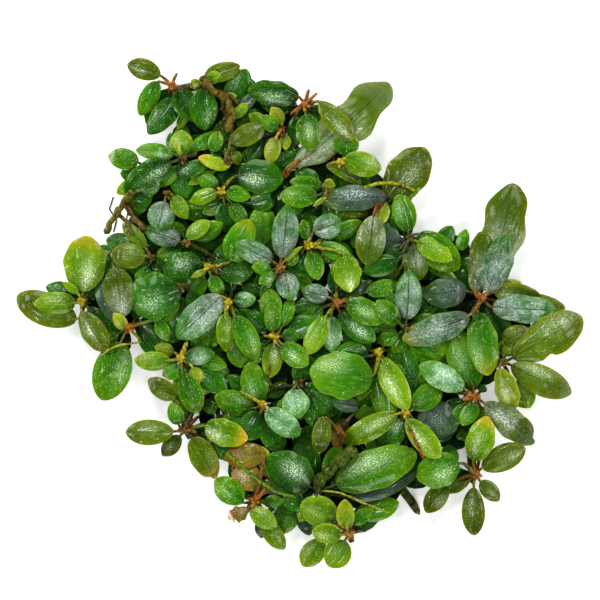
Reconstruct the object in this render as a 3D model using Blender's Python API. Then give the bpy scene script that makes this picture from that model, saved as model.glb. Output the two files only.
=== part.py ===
"""A clump of bucephalandra, a small aquarium plant, lying flat as seen from above.

About forty leaf rosettes stand on short stems along creeping rhizomes. The rhizomes lie on the
surface, where their undersides were cut off flat, and the leaves overlap like tiles above them.
Metres, +Z up. The origin is on the cut underside of the middle rhizome, and +Y is the side of
the clump that is at the top of the photograph.
"""
import math
from dataclasses import dataclass, replace

import bmesh
import bpy
import numpy as np
from mathutils import Vector

# Driving dimensions
MM = 0.001
PX = 0.28 * MM                     # plant shown by one pixel of the photograph
ORIGIN_PX = (300, 312)             # the pixel that is the origin
CLUMP_HALF = (80 * MM, 72 * MM)    # half the clump's spread, across and along
RIM_HEIGHT = 4.5 * MM              # how high the leaves stand at the rim
CROWN_HEIGHT = 12 * MM             # how much higher they stand in the middle
STEM_RADIUS = 1.0 * MM
CROWN_RADIUS = 1.3 * MM
PETIOLE_RADIUS = 0.5 * MM
LEAF_THICKNESS = 0.5 * MM          # at the midrib
RHIZOME_RADIUS = 1.35 * MM
GAP = 0.3 * MM                     # air between pieces that touch
STEM_LEAN = 0.25                   # how far a stem leans outward, per height
CROWN_DEPTH = 3.5 * MM             # how far the crowns sit below the top leaves
LEAST_STEM = 6.8 * MM              # no crown is lower
TRUE_ASPECT = 2.3                  # a blade's length over its width, seen square on
HIDDEN_EDGE = 1.08                 # a blade is this much wider than what shows of it
LEAN_FROM = 10 * MM                # stems nearer the origin than this lean less
WET_ROUGHNESS = 0.35

# The four storeys of leaves: how far each stays below the canopy, and how far below the stem's
# top its petioles start
TOP, MIDDLE, LOW, UNDER = 3, 2, 1, 0
STOREY_DROP = {TOP: 0.0, MIDDLE: 2.0 * MM, LOW: 4.2 * MM, UNDER: 7.5 * MM}
PETIOLE_DROP = {TOP: 0.3 * MM, MIDDLE: 1.1 * MM, LOW: 2.3 * MM, UNDER: 4.5 * MM}

# Colours of the leaves and stems
DEEP, GREEN, FRESH, LIME, OLIVE = "deep", "green", "fresh", "lime", "olive"
SILVER, MIXED, SLATE, BROWN = "silver", "mixed", "slate", "brown"
STEM, ROOT = "stem", "root"
COLOURS = {
    DEEP: (0.010, 0.060, 0.008),
    GREEN: (0.018, 0.120, 0.010),
    FRESH: (0.100, 0.270, 0.015),
    LIME: (0.350, 0.380, 0.030),
    OLIVE: (0.080, 0.130, 0.010),
    SILVER: (0.160, 0.290, 0.190),
    MIXED: (0.150, 0.200, 0.120),
    SLATE: (0.060, 0.090, 0.080),
    BROWN: (0.140, 0.080, 0.010),
    STEM: (0.150, 0.085, 0.020),
    ROOT: (0.400, 0.420, 0.050),
}

# Each rosette has its crown's pixel and its leaves. A leaf has the pixels of its base and its
# tip, its width in pixels, its tone, its storey and, where it is bent sideways, its bow in
# pixels. A stem or a root in the list is a plain round shoot.
ROSETTES = {
    "top_left": ((172, 86), [
        (160, 75, 128, 64, 20, OLIVE, TOP), (157, 81, 140, 114, 16, FRESH, TOP),
        (176, 101, 149, 133, 20, GREEN, TOP), (177, 92, 188, 101, 14, DEEP, TOP),
        (178, 102, 192, 120, 14, GREEN, LOW), (186, 112, 178, 128, 10, FRESH, LOW),
        (172, 82, 165, 83, 6, STEM, TOP), (173, 80, 177, 72, 5, STEM, MIDDLE),
    ]),
    "top_bud": ((203, 80), [
        (205, 76, 239, 66, 18, OLIVE, TOP), (206, 80, 220, 75, 12, FRESH, TOP),
        (200, 82, 191, 86, 10, LIME, TOP), (204, 88, 205, 129, 22, GREEN, TOP),
        (203, 80, 212, 96, 8, STEM, LOW),
    ]),
    "top_mid": ((226, 112), [
        (230, 108, 246, 70, 24, DEEP, MIDDLE), (243, 110, 252, 80, 18, DEEP, LOW),
        (240, 112, 256, 93, 12, SLATE, MIDDLE), (232, 118, 247, 104, 11, FRESH, TOP),
        (222, 100, 236, 96, 9, FRESH, MIDDLE), (226, 112, 222, 103, 7, STEM, MIDDLE),
    ]),
    "upper_left_edge": ((147, 171), [
        (139, 163, 109, 156, 20, OLIVE, TOP), (150, 176, 150, 198, 18, GREEN, TOP),
        (138, 182, 118, 193, 14, FRESH, LOW), (140, 172, 122, 174, 16, DEEP, LOW),
    ]),
    "upper_left": ((182, 160), [
        (183, 155, 181, 131, 22, FRESH, MIDDLE), (177, 152, 170, 134, 14, DEEP, LOW),
        (181, 157, 177, 143, 5, LIME, TOP), (175, 155, 137, 150, 16, FRESH, TOP),
        (172, 163, 126, 192, 24, SILVER, TOP), (188, 169, 206, 160, 14, GREEN, TOP),
        (187, 156, 197, 150, 8, LIME, LOW),
        (183, 170, 186, 197, 26, DEEP, LOW),
    ]),
    "upper_centre": ((228, 162), [
        (212, 150, 262, 133, 21, GREEN, TOP), (212, 152, 219, 133, 14, GREEN, MIDDLE),
        (226, 167, 203, 160, 12, LIME, TOP), (233, 152, 238, 164, 12, FRESH, MIDDLE),
        (214, 172, 190, 184, 10, FRESH, LOW), (228, 160, 225, 148, 5, ROOT, MIDDLE),
        (227, 170, 224, 188, 16, DEEP, LOW),
    ]),
    "top_right": ((304, 106), [
        (299, 97, 249, 90, 24, DEEP, TOP), (293, 106, 262, 104, 18, DEEP, LOW),
        (319, 102, 346, 134, 16, OLIVE, TOP), (306, 115, 311, 150, 22, OLIVE, TOP),
        (296, 116, 293, 148, 15, DEEP, MIDDLE), (304, 106, 290, 115, 8, STEM, LOW),
        (306, 100, 309, 89, 6, STEM, TOP), (310, 100, 318, 93, 5, STEM, TOP),
    ]),
    "top_inner": ((281, 131), [
        (282, 124, 272, 108, 13, LIME, TOP), (266, 122, 250, 115, 12, FRESH, MIDDLE),
        (277, 130, 262, 117, 14, GREEN, TOP), (284, 135, 286, 149, 11, LIME, TOP),
        (276, 138, 270, 163, 15, LIME, TOP), (272, 134, 260, 144, 12, SLATE, MIDDLE),
        (271, 165, 298, 156, 17, DEEP, MIDDLE),
        (270, 128, 238, 124, 20, DEEP, LOW),
    ]),
    "wavy": ((286, 174), [
        (293, 168, 389, 83, 38, MIXED, MIDDLE, -1), (284, 172, 298, 160, 5, BROWN, TOP),
    ]),
    "upper_right_small": ((340, 163), [
        (344, 156, 348, 133, 18, FRESH, MIDDLE), (344, 159, 380, 169, 18, FRESH, TOP),
        (333, 168, 359, 184, 13, LIME, MIDDLE),
        (345, 168, 366, 196, 22, DEEP, LOW),
    ]),
    "upper_right": ((377, 207), [
        (387, 197, 425, 149, 36, GREEN, MIDDLE), (385, 202, 379, 224, 13, LIME, TOP),
        (369, 204, 322, 200, 21, MIXED, TOP), (370, 212, 330, 209, 16, OLIVE, LOW),
        (373, 216, 366, 264, 28, MIXED, TOP),
        (369, 199, 379, 184, 4, ROOT, TOP), (379, 184, 415, 187, 4, ROOT, TOP, -5),
    ]),
    "right_inner": ((408, 239), [
        (408, 232, 398, 196, 21, FRESH, TOP), (403, 234, 392, 206, 14, DEEP, LOW),
        (412, 244, 417, 280, 24, MIXED, MIDDLE), (417, 242, 450, 260, 20, FRESH, TOP),
        (418, 234, 458, 268, 30, GREEN, MIDDLE), (401, 242, 379, 240, 26, SLATE, LOW),
        (439, 246, 452, 227, 16, DEEP, LOW), (459, 250, 466, 230, 12, GREEN, LOW),
        (438, 268, 457, 286, 13, FRESH, LOW), (408, 239, 399, 252, 9, STEM, MIDDLE),
        (397, 261, 364, 271, 20, DEEP, MIDDLE), (399, 270, 380, 281, 11, OLIVE, LOW),
    ]),
    "right_tall": ((481, 298), [
        (474, 292, 480, 233, 28, MIXED, TOP, 4), (487, 292, 505, 236, 28, SILVER, TOP),
        (489, 290, 515, 184, 40, MIXED, MIDDLE, -1), (466, 291, 424, 296, 28, SILVER, MIDDLE),
        (477, 312, 487, 374, 27, DEEP, TOP), (492, 307, 556, 311, 26, SILVER, TOP),
        (494, 292, 541, 298, 19, OLIVE, MIDDLE), (500, 301, 566, 308, 21, OLIVE, LOW),
        (496, 288, 521, 283, 11, LIME, LOW), (468, 316, 403, 339, 27, SILVER, TOP),
        (481, 298, 470, 316, 8, STEM, MIDDLE),
        (488, 306, 506, 340, 24, DEEP, LOW),
    ]),
    "right_edge": ((503, 362), [
        (512, 358, 582, 318, 38, OLIVE, TOP), (511, 365, 571, 393, 28, OLIVE, TOP),
        (498, 368, 512, 411, 22, FRESH, TOP), (514, 382, 530, 407, 25, FRESH, MIDDLE),
        (503, 355, 512, 342, 18, FRESH, LOW), (502, 340, 530, 331, 20, OLIVE, LOW),
    ]),
    "lower_right": ((473, 396), [
        (484, 403, 534, 443, 27, MIXED, TOP), (463, 388, 420, 365, 24, SILVER, TOP),
        (473, 388, 454, 332, 33, DEEP, MIDDLE), (476, 404, 462, 424, 16, DEEP, MIDDLE),
        (484, 416, 458, 438, 20, DEEP, LOW), (480, 392, 484, 385, 10, DEEP, LOW),
        (473, 396, 461, 399, 8, STEM, TOP),
        (466, 402, 446, 420, 24, DEEP, LOW),
    ]),
    "bottom_right": ((476, 474), [
        (482, 468, 524, 448, 25, OLIVE, TOP), (474, 488, 475, 535, 22, OLIVE, TOP),
        (481, 482, 499, 501, 16, OLIVE, MIDDLE), (467, 482, 447, 490, 14, OLIVE, LOW),
        (473, 460, 486, 417, 26, GREEN, TOP), (448, 484, 427, 512, 20, OLIVE, MIDDLE),
        (458, 462, 418, 478, 33, GREEN, TOP), (476, 474, 462, 462, 7, STEM, MIDDLE),
        (477, 470, 480, 459, 6, STEM, LOW),
    ]),
    "low_right_inner": ((405, 413), [
        (406, 419, 439, 456, 22, FRESH, TOP), (396, 413, 343, 441, 22, FRESH, TOP),
        (411, 408, 440, 386, 23, GREEN, MIDDLE), (426, 402, 447, 440, 36, SLATE, LOW),
        (402, 419, 379, 446, 27, GREEN, MIDDLE), (410, 398, 396, 336, 28, DEEP, LOW),
        (408, 424, 424, 460, 6, STEM, LOW), (448, 468, 449, 446, 19, DEEP, LOW),
        (396, 404, 352, 388, 30, DEEP, LOW),
    ]),
    "centre_right": ((378, 352), [
        (381, 358, 407, 408, 24, FRESH, TOP), (370, 362, 312, 369, 40, GREEN, TOP),
        (384, 345, 388, 320, 18, DEEP, LOW), (380, 364, 388, 419, 28, DEEP, MIDDLE),
        (378, 352, 374, 350, 7, STEM, TOP),
        (370, 350, 344, 336, 22, DEEP, LOW),
    ]),
    "centre": ((336, 303), [
        (326, 316, 307, 353, 20, FRESH, TOP), (331, 316, 332, 351, 20, GREEN, MIDDLE),
        (340, 312, 374, 340, 22, GREEN, TOP), (346, 301, 384, 320, 22, SILVER, TOP),
        (337, 294, 332, 272, 13, DEEP, LOW), (355, 297, 371, 281, 12, SLATE, LOW),
        (328, 297, 303, 291, 18, SILVER, TOP), (337, 280, 334, 262, 9, GREEN, MIDDLE),
        (326, 306, 292, 309, 16, DEEP, LOW), (366, 292, 397, 291, 14, FRESH, LOW),
        (336, 303, 345, 300, 6, STEM, TOP),
    ]),
    "right_middle": ((404, 327), [
        (406, 319, 408, 272, 25, SILVER, MIDDLE), (399, 323, 377, 301, 18, GREEN, TOP),
        (411, 330, 440, 345, 20, DEEP, LOW), (404, 334, 394, 352, 18, DEEP, LOW),
        (411, 335, 446, 362, 30, DEEP, LOW), (412, 320, 438, 286, 24, DEEP, LOW),
    ]),
    "centre_upper": ((308, 246), [
        (308, 240, 303, 221, 13, GREEN, TOP), (314, 232, 341, 223, 24, SILVER, TOP),
        (320, 246, 350, 258, 16, GREEN, TOP), (316, 252, 344, 266, 9, DEEP, LOW),
        (311, 252, 318, 279, 18, GREEN, TOP), (345, 256, 350, 291, 26, FRESH, TOP),
        (334, 238, 360, 222, 15, DEEP, LOW), (308, 246, 321, 243, 5, ROOT, TOP),
    ]),
    "centre_left": ((280, 268), [
        (272, 261, 236, 243, 21, SILVER, TOP), (271, 270, 253, 267, 12, GREEN, TOP),
        (275, 274, 260, 283, 12, GREEN, TOP), (286, 265, 297, 254, 12, GREEN, MIDDLE),
        (283, 262, 302, 247, 5, LIME, TOP), (281, 258, 287, 207, 25, SILVER, TOP),
        (285, 273, 291, 299, 22, SILVER, TOP), (264, 246, 271, 211, 19, DEEP, LOW),
        (262, 292, 243, 287, 13, DEEP, LOW),
        (287, 266, 316, 276, 22, DEEP, LOW),
    ]),
    "left_inner": ((228, 303), [
        (234, 300, 255, 299, 15, SILVER, TOP), (222, 296, 179, 337, 23, SILVER, TOP),
        (226, 314, 226, 350, 17, FRESH, TOP), (236, 316, 256, 358, 22, GREEN, TOP),
        (240, 340, 241, 366, 24, GREEN, MIDDLE), (228, 303, 228, 316, 4, ROOT, TOP),
    ]),
    "left_upper": ((188, 243), [
        (180, 242, 146, 230, 21, SILVER, TOP), (187, 238, 209, 222, 15, FRESH, TOP),
        (196, 240, 222, 224, 17, GREEN, MIDDLE), (184, 236, 172, 223, 13, DEEP, MIDDLE),
        (188, 243, 216, 258, 8, STEM, MIDDLE),
    ]),
    "left_mid": ((208, 267), [
        (202, 263, 165, 272, 30, GREEN, MIDDLE), (206, 270, 193, 277, 6, LIME, TOP),
        (214, 262, 229, 272, 13, GREEN, LOW), (208, 267, 243, 285, 8, STEM, LOW),
        (232, 261, 250, 221, 27, FRESH, MIDDLE),
        (218, 268, 252, 272, 26, DEEP, LOW),
    ]),
    "upper_inner": ((222, 192), [
        (217, 192, 192, 202, 14, FRESH, TOP), (219, 188, 199, 178, 15, FRESH, MIDDLE),
        (227, 191, 250, 197, 15, GREEN, MIDDLE), (225, 202, 204, 213, 14, GREEN, LOW),
        (238, 176, 280, 180, 26, GREEN, TOP),
        (251, 204, 276, 197, 20, DEEP, LOW), (222, 192, 214, 186, 6, STEM, LOW),
        (224, 202, 230, 232, 20, DEEP, LOW),
    ]),
    "upper_middle": ((325, 191), [
        (317, 196, 281, 196, 21, GREEN, TOP), (322, 186, 291, 182, 15, FRESH, MIDDLE),
        (323, 184, 334, 186, 12, LIME, LOW), (322, 193, 312, 190, 9, SLATE, LOW),
        (325, 198, 314, 206, 5, LIME, TOP),
        (318, 184, 296, 172, 18, DEEP, LOW),
    ]),
    "upper_left_low": ((168, 194), [
        (165, 202, 158, 228, 23, SILVER, TOP), (174, 196, 187, 218, 15, FRESH, TOP),
    ]),
    "left_edge": ((82, 302), [
        (76, 320, 17, 296, 31, OLIVE, MIDDLE), (75, 303, 35, 304, 21, FRESH, TOP),
        (79, 295, 46, 287, 18, DEEP, LOW), (83, 292, 87, 237, 36, FRESH, TOP),
        (78, 293, 64, 283, 8, FRESH, TOP), (82, 312, 107, 350, 23, GREEN, TOP),
        (88, 308, 110, 330, 14, DEEP, LOW),
    ]),
    "left": ((130, 327), [
        (124, 317, 116, 268, 29, MIXED, TOP), (126, 329, 115, 314, 12, LIME, TOP),
        (121, 342, 102, 399, 36, GREEN, MIDDLE), (120, 322, 99, 280, 22, SLATE, LOW),
        (141, 324, 162, 356, 25, DEEP, LOW), (158, 320, 168, 340, 13, GREEN, MIDDLE),
        (133, 332, 142, 341, 5, ROOT, TOP), (142, 341, 97, 359, 4, ROOT, TOP, 5),
    ]),
    "left_shaded": ((152, 259), [
        (142, 250, 107, 240, 20, DEEP, LOW), (146, 257, 112, 255, 24, OLIVE, MIDDLE),
        (150, 264, 130, 268, 22, DEEP, LOW), (142, 238, 104, 216, 4, STEM, LOW, 4),
        (140, 232, 122, 206, 4, STEM, LOW, -3),
    ]),
    "left_centre": ((183, 286), [
        (177, 289, 133, 303, 32, DEEP, MIDDLE), (180, 297, 184, 312, 15, GREEN, LOW),
        (178, 296, 172, 342, 28, DEEP, LOW),
    ]),
    "lower_left": ((181, 358), [
        (171, 360, 136, 360, 18, FRESH, TOP), (180, 366, 164, 375, 17, GREEN, MIDDLE),
        (186, 359, 214, 353, 17, SILVER, TOP), (193, 367, 199, 382, 14, LIME, MIDDLE),
        (183, 373, 197, 412, 23, GREEN, TOP), (179, 376, 185, 413, 18, SILVER, LOW),
        (174, 352, 156, 347, 13, LIME, LOW), (193, 348, 208, 334, 18, GREEN, LOW),
        (212, 372, 204, 394, 12, FRESH, LOW), (208, 368, 230, 376, 15, DEEP, LOW),
        (181, 358, 188, 341, 8, STEM, TOP),
        (192, 366, 226, 392, 22, DEEP, LOW),
    ]),
    "bottom_left": ((184, 430), [
        (174, 431, 127, 432, 24, OLIVE, TOP), (179, 424, 172, 403, 15, GREEN, MIDDLE),
        (180, 436, 163, 455, 16, OLIVE, MIDDLE), (193, 437, 215, 477, 25, OLIVE, TOP),
        (176, 398, 149, 380, 19, OLIVE, LOW), (206, 425, 247, 438, 25, FRESH, TOP),
        (205, 400, 214, 413, 13, GREEN, LOW), (184, 430, 200, 415, 6, STEM, MIDDLE),
        (190, 430, 198, 432, 6, STEM, TOP),
        (200, 436, 250, 456, 26, DEEP, LOW),
    ]),
    "lower_centre": ((262, 403), [
        (257, 400, 250, 363, 26, GREEN, TOP), (255, 408, 216, 396, 23, GREEN, MIDDLE),
        (266, 410, 299, 434, 23, SILVER, TOP), (261, 412, 245, 438, 25, DEEP, MIDDLE),
        (269, 405, 289, 412, 14, DEEP, LOW), (262, 403, 240, 390, 6, ROOT, TOP),
        (264, 414, 280, 452, 24, DEEP, LOW),
    ]),
    "middle_gap": ((299, 384), [
        (298, 391, 300, 419, 25, SILVER, MIDDLE), (298, 378, 298, 362, 13, DEEP, LOW),
        (305, 386, 326, 396, 18, GREEN, LOW), (299, 384, 271, 389, 6, STEM, LOW),
        (306, 392, 336, 412, 26, DEEP, LOW),
    ]),
    "centre_low": ((275, 337), [
        (273, 331, 271, 303, 16, GREEN, TOP), (274, 343, 270, 376, 19, FRESH, TOP),
        (282, 344, 307, 364, 21, GREEN, TOP), (282, 336, 298, 336, 15, DEEP, MIDDLE),
        (271, 322, 270, 292, 20, DEEP, LOW), (275, 337, 263, 335, 5, STEM, TOP),
        (270, 330, 248, 314, 18, DEEP, LOW), (284, 333, 316, 322, 22, DEEP, LOW),
    ]),
    "lower_brown": ((338, 430), [
        (324, 416, 319, 452, 18, FRESH, TOP), (358, 406, 333, 400, 15, SLATE, MIDDLE),
        (336, 424, 330, 402, 16, BROWN, MIDDLE),
    ]),
    "bottom": ((255, 500), [
        (243, 502, 216, 480, 24, GREEN, TOP), (249, 508, 229, 518, 15, BROWN, TOP),
        (252, 507, 276, 526, 18, FRESH, TOP), (264, 520, 284, 549, 18, FRESH, MIDDLE),
        (264, 502, 283, 500, 12, GREEN, MIDDLE), (282, 508, 284, 533, 26, DEEP, LOW),
        (262, 480, 233, 472, 26, BROWN, MIDDLE), (250, 478, 229, 455, 4, ROOT, TOP, -2),
        (262, 489, 275, 492, 4, ROOT, TOP), (270, 478, 262, 450, 12, LIME, LOW),
        (258, 484, 292, 487, 15, SLATE, LOW), (264, 516, 261, 538, 15, SLATE, LOW),
        (255, 500, 268, 486, 6, STEM, TOP), (258, 500, 247, 512, 10, BROWN, LOW),
    ]),
    "bottom_mid": ((349, 534), [
        (347, 528, 345, 500, 17, FRESH, TOP), (337, 518, 302, 504, 27, GREEN, MIDDLE),
        (345, 541, 329, 566, 26, FRESH, TOP), (323, 540, 303, 566, 22, FRESH, MIDDLE),
        (342, 534, 313, 531, 19, FRESH, TOP), (304, 504, 309, 535, 20, SLATE, LOW),
        (358, 514, 398, 503, 22, GREEN, LOW), (349, 534, 359, 532, 5, STEM, TOP),
    ]),
    "lower_mid": ((318, 490), [
        (310, 486, 270, 455, 33, GREEN, TOP), (336, 484, 415, 453, 38, GREEN, TOP),
        (350, 497, 419, 466, 28, SLATE, LOW),
        (322, 484, 360, 453, 15, STEM, LOW), (334, 491, 390, 513, 4, ROOT, TOP),
        (322, 490, 334, 491, 4, ROOT, MIDDLE), (318, 490, 334, 505, 8, STEM, LOW),
        (312, 478, 300, 440, 26, DEEP, LOW), (308, 494, 284, 504, 24, DEEP, LOW),
    ]),
}

# Rhizomes, each creeping past the feet of the rosettes that it carries, or over a pixel
RHIZOMES = {
    "top_left": ["top_left", "top_bud", "top_mid"],
    "upper_left": ["upper_left_edge", "upper_left", "upper_centre"],
    "left_upper": ["upper_inner", "left_upper"],
    "left_side": ["upper_left_low", "left_shaded"],
    "left_inner": ["left_mid", "left_inner"],
    "lower_left": ["left_centre", "lower_left", "bottom_left"],
    "left": ["left_edge", "left"],
    "top_right": ["top_right", "top_inner", "wavy"],
    "upper_middle": ["upper_right_small", "upper_middle", "centre_upper", "centre_left"],
    "right": ["upper_right", "right_inner", "right_tall"],
    "lower_right": ["right_edge", "lower_right", "bottom_right"],
    "middle": ["centre", ORIGIN_PX, "centre_low", "middle_gap"],
    "lower_centre": ["lower_centre", (268, 388)],
    "lower_right_inner": ["right_middle", "centre_right", "low_right_inner", (401, 484), (413, 504)],
    "bottom": ["lower_brown", "lower_mid", "bottom"],
    "bottom_mid": ["bottom_mid", (344, 517)],
}


# How the pieces are laid
CELL = 0.4 * MM                    # the pile's height is kept for squares of this side
SAMPLE = 0.3 * MM                  # distance between the points of a leaf laid on the pile
PILE_REACH = 1.4                   # half of the pile, over half of the clump
LEAST_HEIGHT = 1.0 * MM            # no leaf hangs lower over the surface
ARCH = 0.09                        # how high a leaf arches, per length
TIP_LIFT = 0.3                     # how far a tip rises, per length that a steep blade hides
MOST_TIP_LIFT = 3 * MM
MOST_SWAY = 0.20                   # the steepest sideways lean of a blade
GOLDEN_ANGLE = math.radians(137.5)
SMOOTHINGS = 3                     # times that a leaf's line is raised towards a smooth one

# The shape of a leaf
LONG_PETIOLE = 1.6 * MM            # a longer petiole has a section where its blade begins
PETIOLE_START = 0.9 * STEM_RADIUS  # how far behind the stem's middle a petiole starts
PETIOLE_FLARE = 1.4                # its width over its thickness where the blade begins
SHARP_TURN = math.radians(55)      # a blade that turns more than this off its petiole is a skin apart
SHORT_BLADE, LONG_BLADE = 12 * MM, 19 * MM
SHORT_SHARES = (0.27, 0.74)        # where a short blade's sections are, along its length
MIDDLE_SHARES = (0.2, 0.52, 0.84)
LONG_SHARES = (0.12, 0.31, 0.5, 0.69, 0.88)
FULLNESS = 0.45                    # below 1 a blade stays broad further towards its ends
AIM_SHARE = 0.2                    # the share of the blade at which its petiole aims
SHOOT_START = 0.35 * STEM_RADIUS   # how far from the stem's middle a shoot starts
SHOOT_TAPER = 0.8
SHOOT_DEPTH = 1.5                  # a shoot's depth over its half width
LONG_SHOOT = 6 * MM                # a longer shoot bends

# Leaves low on the stems, in pixels of the photograph
UNDER_BASE, UNDER_TIP, UNDER_WIDTH = 5, 46, 24
UNDER_HEADINGS = 24                # ways to grow that a leaf chooses from
UNDER_SHARES = (0.6, 1.0)          # where along the leaf its distance from crowns is measured
INNER_REACH = 150                  # the clump is closed up to here, so tips may point outward

# Rhizomes and stems
RHIZOME_STEP = 14 * MM
RHIZOME_OVERHANG = 4 * MM          # how far a rhizome goes on past its last stem
RHIZOME_TAPER = 0.7
RHIZOME_TOP = 2 * RHIZOME_RADIUS * math.cos(math.pi / 6)
STEM_FOOT = RHIZOME_TOP + GAP
CROWN_TAPER = 0.7
CROWN_OVER_LEAF = 0.5 * MM         # how far a crown rises over its highest petiole


def place(pixel):
    """The point of the ground that a pixel of the photograph shows."""
    return Vector(((pixel[0] - ORIGIN_PX[0]) * PX, (ORIGIN_PX[1] - pixel[1]) * PX))


def canopy(point):
    """How high the top leaves stand over a point of the ground."""
    spread = (point.x / CLUMP_HALF[0]) ** 2 + (point.y / CLUMP_HALF[1]) ** 2
    return RIM_HEIGHT + CROWN_HEIGHT * max(0.0, 1.0 - spread)


class Stem:
    """A stem that leans outward from its foot to its crown."""

    def __init__(self, name):
        self.crown = place(ROSETTES[name][0])
        self.top = max(canopy(self.crown) - CROWN_DEPTH, LEAST_STEM)
        inward = -self.crown.normalized() * min(1.0, self.crown.length / LEAN_FROM)
        self.foot = self.crown + inward * STEM_LEAN * (self.top - STEM_FOOT)
        self.slope = (self.crown - self.foot) / (self.top - STEM_FOOT)

    def axis(self, height):
        """The middle of the stem, seen from above, at a height."""
        return self.foot + self.slope * (min(height, self.top) - STEM_FOOT)

    def start(self, storey):
        """The height at which the petioles of a storey start."""
        return max(self.top - PETIOLE_DROP[storey], STEM_FOOT + CROWN_RADIUS)


class Leaf:
    """A blade on its petiole, or a plain round shoot, as a line of a rosette's list gives it."""

    def __init__(self, base_x, base_y, tip_x, tip_y, width, tone, storey, bow=0):
        self.base, self.tip = place((base_x, base_y)), place((tip_x, tip_y))
        self.shoot = tone in (STEM, ROOT)
        self.half = width * PX / 2 * (1 if self.shoot else HIDDEN_EDGE)
        self.storey = storey
        self.bow = bow * PX
        self.length = (self.tip - self.base).length

    def spot(self, share):
        """A point of the ground under its midrib, at a share of the way from base to tip."""
        blade = self.tip - self.base
        sideways = Vector((blade.y, -blade.x)).normalized()
        return self.base + blade * share + sideways * self.bow * 4 * share * (1 - share)


@dataclass
class Section:
    """A cross-section of a leaf or shoot, seen along its length."""
    place: Vector                  # of the midrib on the ground
    half: float = 0.0              # half width
    thick: float = 0.0             # thickness at the midrib
    sway: float = 0.0              # rise of the right edge per half width
    fans: bool = False             # belongs to the blade, not to the petiole
    shoot: bool = False            # belongs to a plain round shoot
    height: float = 0.0            # of the midrib
    nominal: float = 0.0           # the height it would like
    needed: float = 0.0            # least height that clears what lies below
    across: Vector = None          # direction of the right edge

    def corners(self):
        """Left edge, right edge and keel, or one point."""
        if not self.half:
            return [Vector((*self.place, self.height))]
        rise = self.sway * self.half
        corners = ((-self.half, -rise), (self.half, rise), (0.0, -self.thick))
        return [Vector((*(self.place + self.across * side), self.height + up)) for side, up in corners]


class Pile:
    """How high everything laid so far reaches over each cell, kept apart for each rosette."""

    def __init__(self, owners):
        columns, rows = [int(PILE_REACH * half / CELL) for half in CLUMP_HALF]
        self.middle = (rows, columns)
        self.heights = np.zeros((owners, 2 * rows, 2 * columns), dtype=np.float32)

    def cells(self, x, y):
        return (y / CELL).astype(int) + self.middle[0], (x / CELL).astype(int) + self.middle[1]

    def lay(self, owner, x, y, top):
        rows, columns = self.cells(x, y)
        for down in (-1, 0, 1):
            for right in (-1, 0, 1):
                np.maximum.at(self.heights[owner], (rows + down, columns + right), top)

    def under(self, owner, x, y, stem):
        """The height below each point. Leaves of one rosette may meet close to their stem."""
        rows, columns = self.cells(x, y)
        found = self.heights[:, rows, columns]
        near = np.hypot(x - stem.crown.x, y - stem.crown.y) < CROWN_RADIUS + CELL
        found[owner][near] = 0.0
        return found.max(axis=0)


def strip(one, other):
    """Points over the skin between two sections: midrib's height, and rise of top and keel."""
    length = (other.place - one.place).length
    along_steps = max(2, math.ceil(length / SAMPLE))
    across_steps = max(3, math.ceil(2 * max(one.half, other.half) / SAMPLE))
    along, across = np.meshgrid(np.linspace(0, 1, along_steps + 1), np.linspace(-1, 1, across_steps + 1))

    def between(a, b):
        return a + (b - a) * along

    side = between(one.half, other.half) * across
    thick = between(one.thick, other.thick) * (1 - abs(across))
    x = between(one.place.x, other.place.x) + between(one.across.x, other.across.x) * side
    y = between(one.place.y, other.place.y) + between(one.across.y, other.across.y) * side
    rise = between(one.sway, other.sway) * side
    return x, y, between(one.height, other.height), rise, rise - thick


def face_across(sections):
    """Point each section's right edge square to the line of the sections, seen from above.

    A blade's first section is square to the blade alone, so that only the thin petiole turns.
    """
    for k, section in enumerate(sections):
        before, after = sections[max(k - 1, 0)], sections[min(k + 1, len(sections) - 1)]
        if section.fans and not before.fans:
            before = section
        along = (after.place - before.place).normalized()
        section.across = Vector((along.y, -along.x))


def blade_sections(stem, leaf, sway):
    """Sections of a blade and its petiole, from a point inside the stem to a point at the tip."""
    shares = SHORT_SHARES
    if leaf.length > LONG_BLADE:
        shares = LONG_SHARES
    elif leaf.length > SHORT_BLADE:
        shares = MIDDLE_SHARES
    root = stem.axis(stem.start(leaf.storey))
    aim = (leaf.base.lerp(leaf.tip, AIM_SHARE) - root).normalized()
    sections = [Section(root - aim * PETIOLE_START)]
    if (leaf.base - root).length > LONG_PETIOLE:
        sections.append(Section(leaf.base, PETIOLE_RADIUS * PETIOLE_FLARE, PETIOLE_RADIUS))
    for share in shares:
        half = leaf.half * math.sin(math.pi * share) ** FULLNESS
        sections.append(Section(leaf.spot(share), half, LEAF_THICKNESS, sway, fans=True))
    sections.append(Section(leaf.tip, fans=True))
    return sections


def shoot_sections(stem, leaf):
    """Sections of a round shoot, from inside the stem to its blunt end."""
    root = stem.axis(stem.start(leaf.storey))
    aim = (leaf.base.lerp(leaf.tip, AIM_SHARE) - root).normalized()
    bends = leaf.bow or leaf.length > LONG_SHOOT
    sections = [Section(root + aim * SHOOT_START, leaf.half, leaf.half * SHOOT_DEPTH, shoot=True)]
    for share in (0.0, 0.5, 1.0) if bends else (0.0, 1.0):
        half = leaf.half * (SHOOT_TAPER if share == 1 else 1)
        sections.append(Section(leaf.spot(share), half, half * SHOOT_DEPTH, shoot=True))
    if (leaf.base - root).length < CROWN_RADIUS:
        del sections[1]
    return sections


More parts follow.
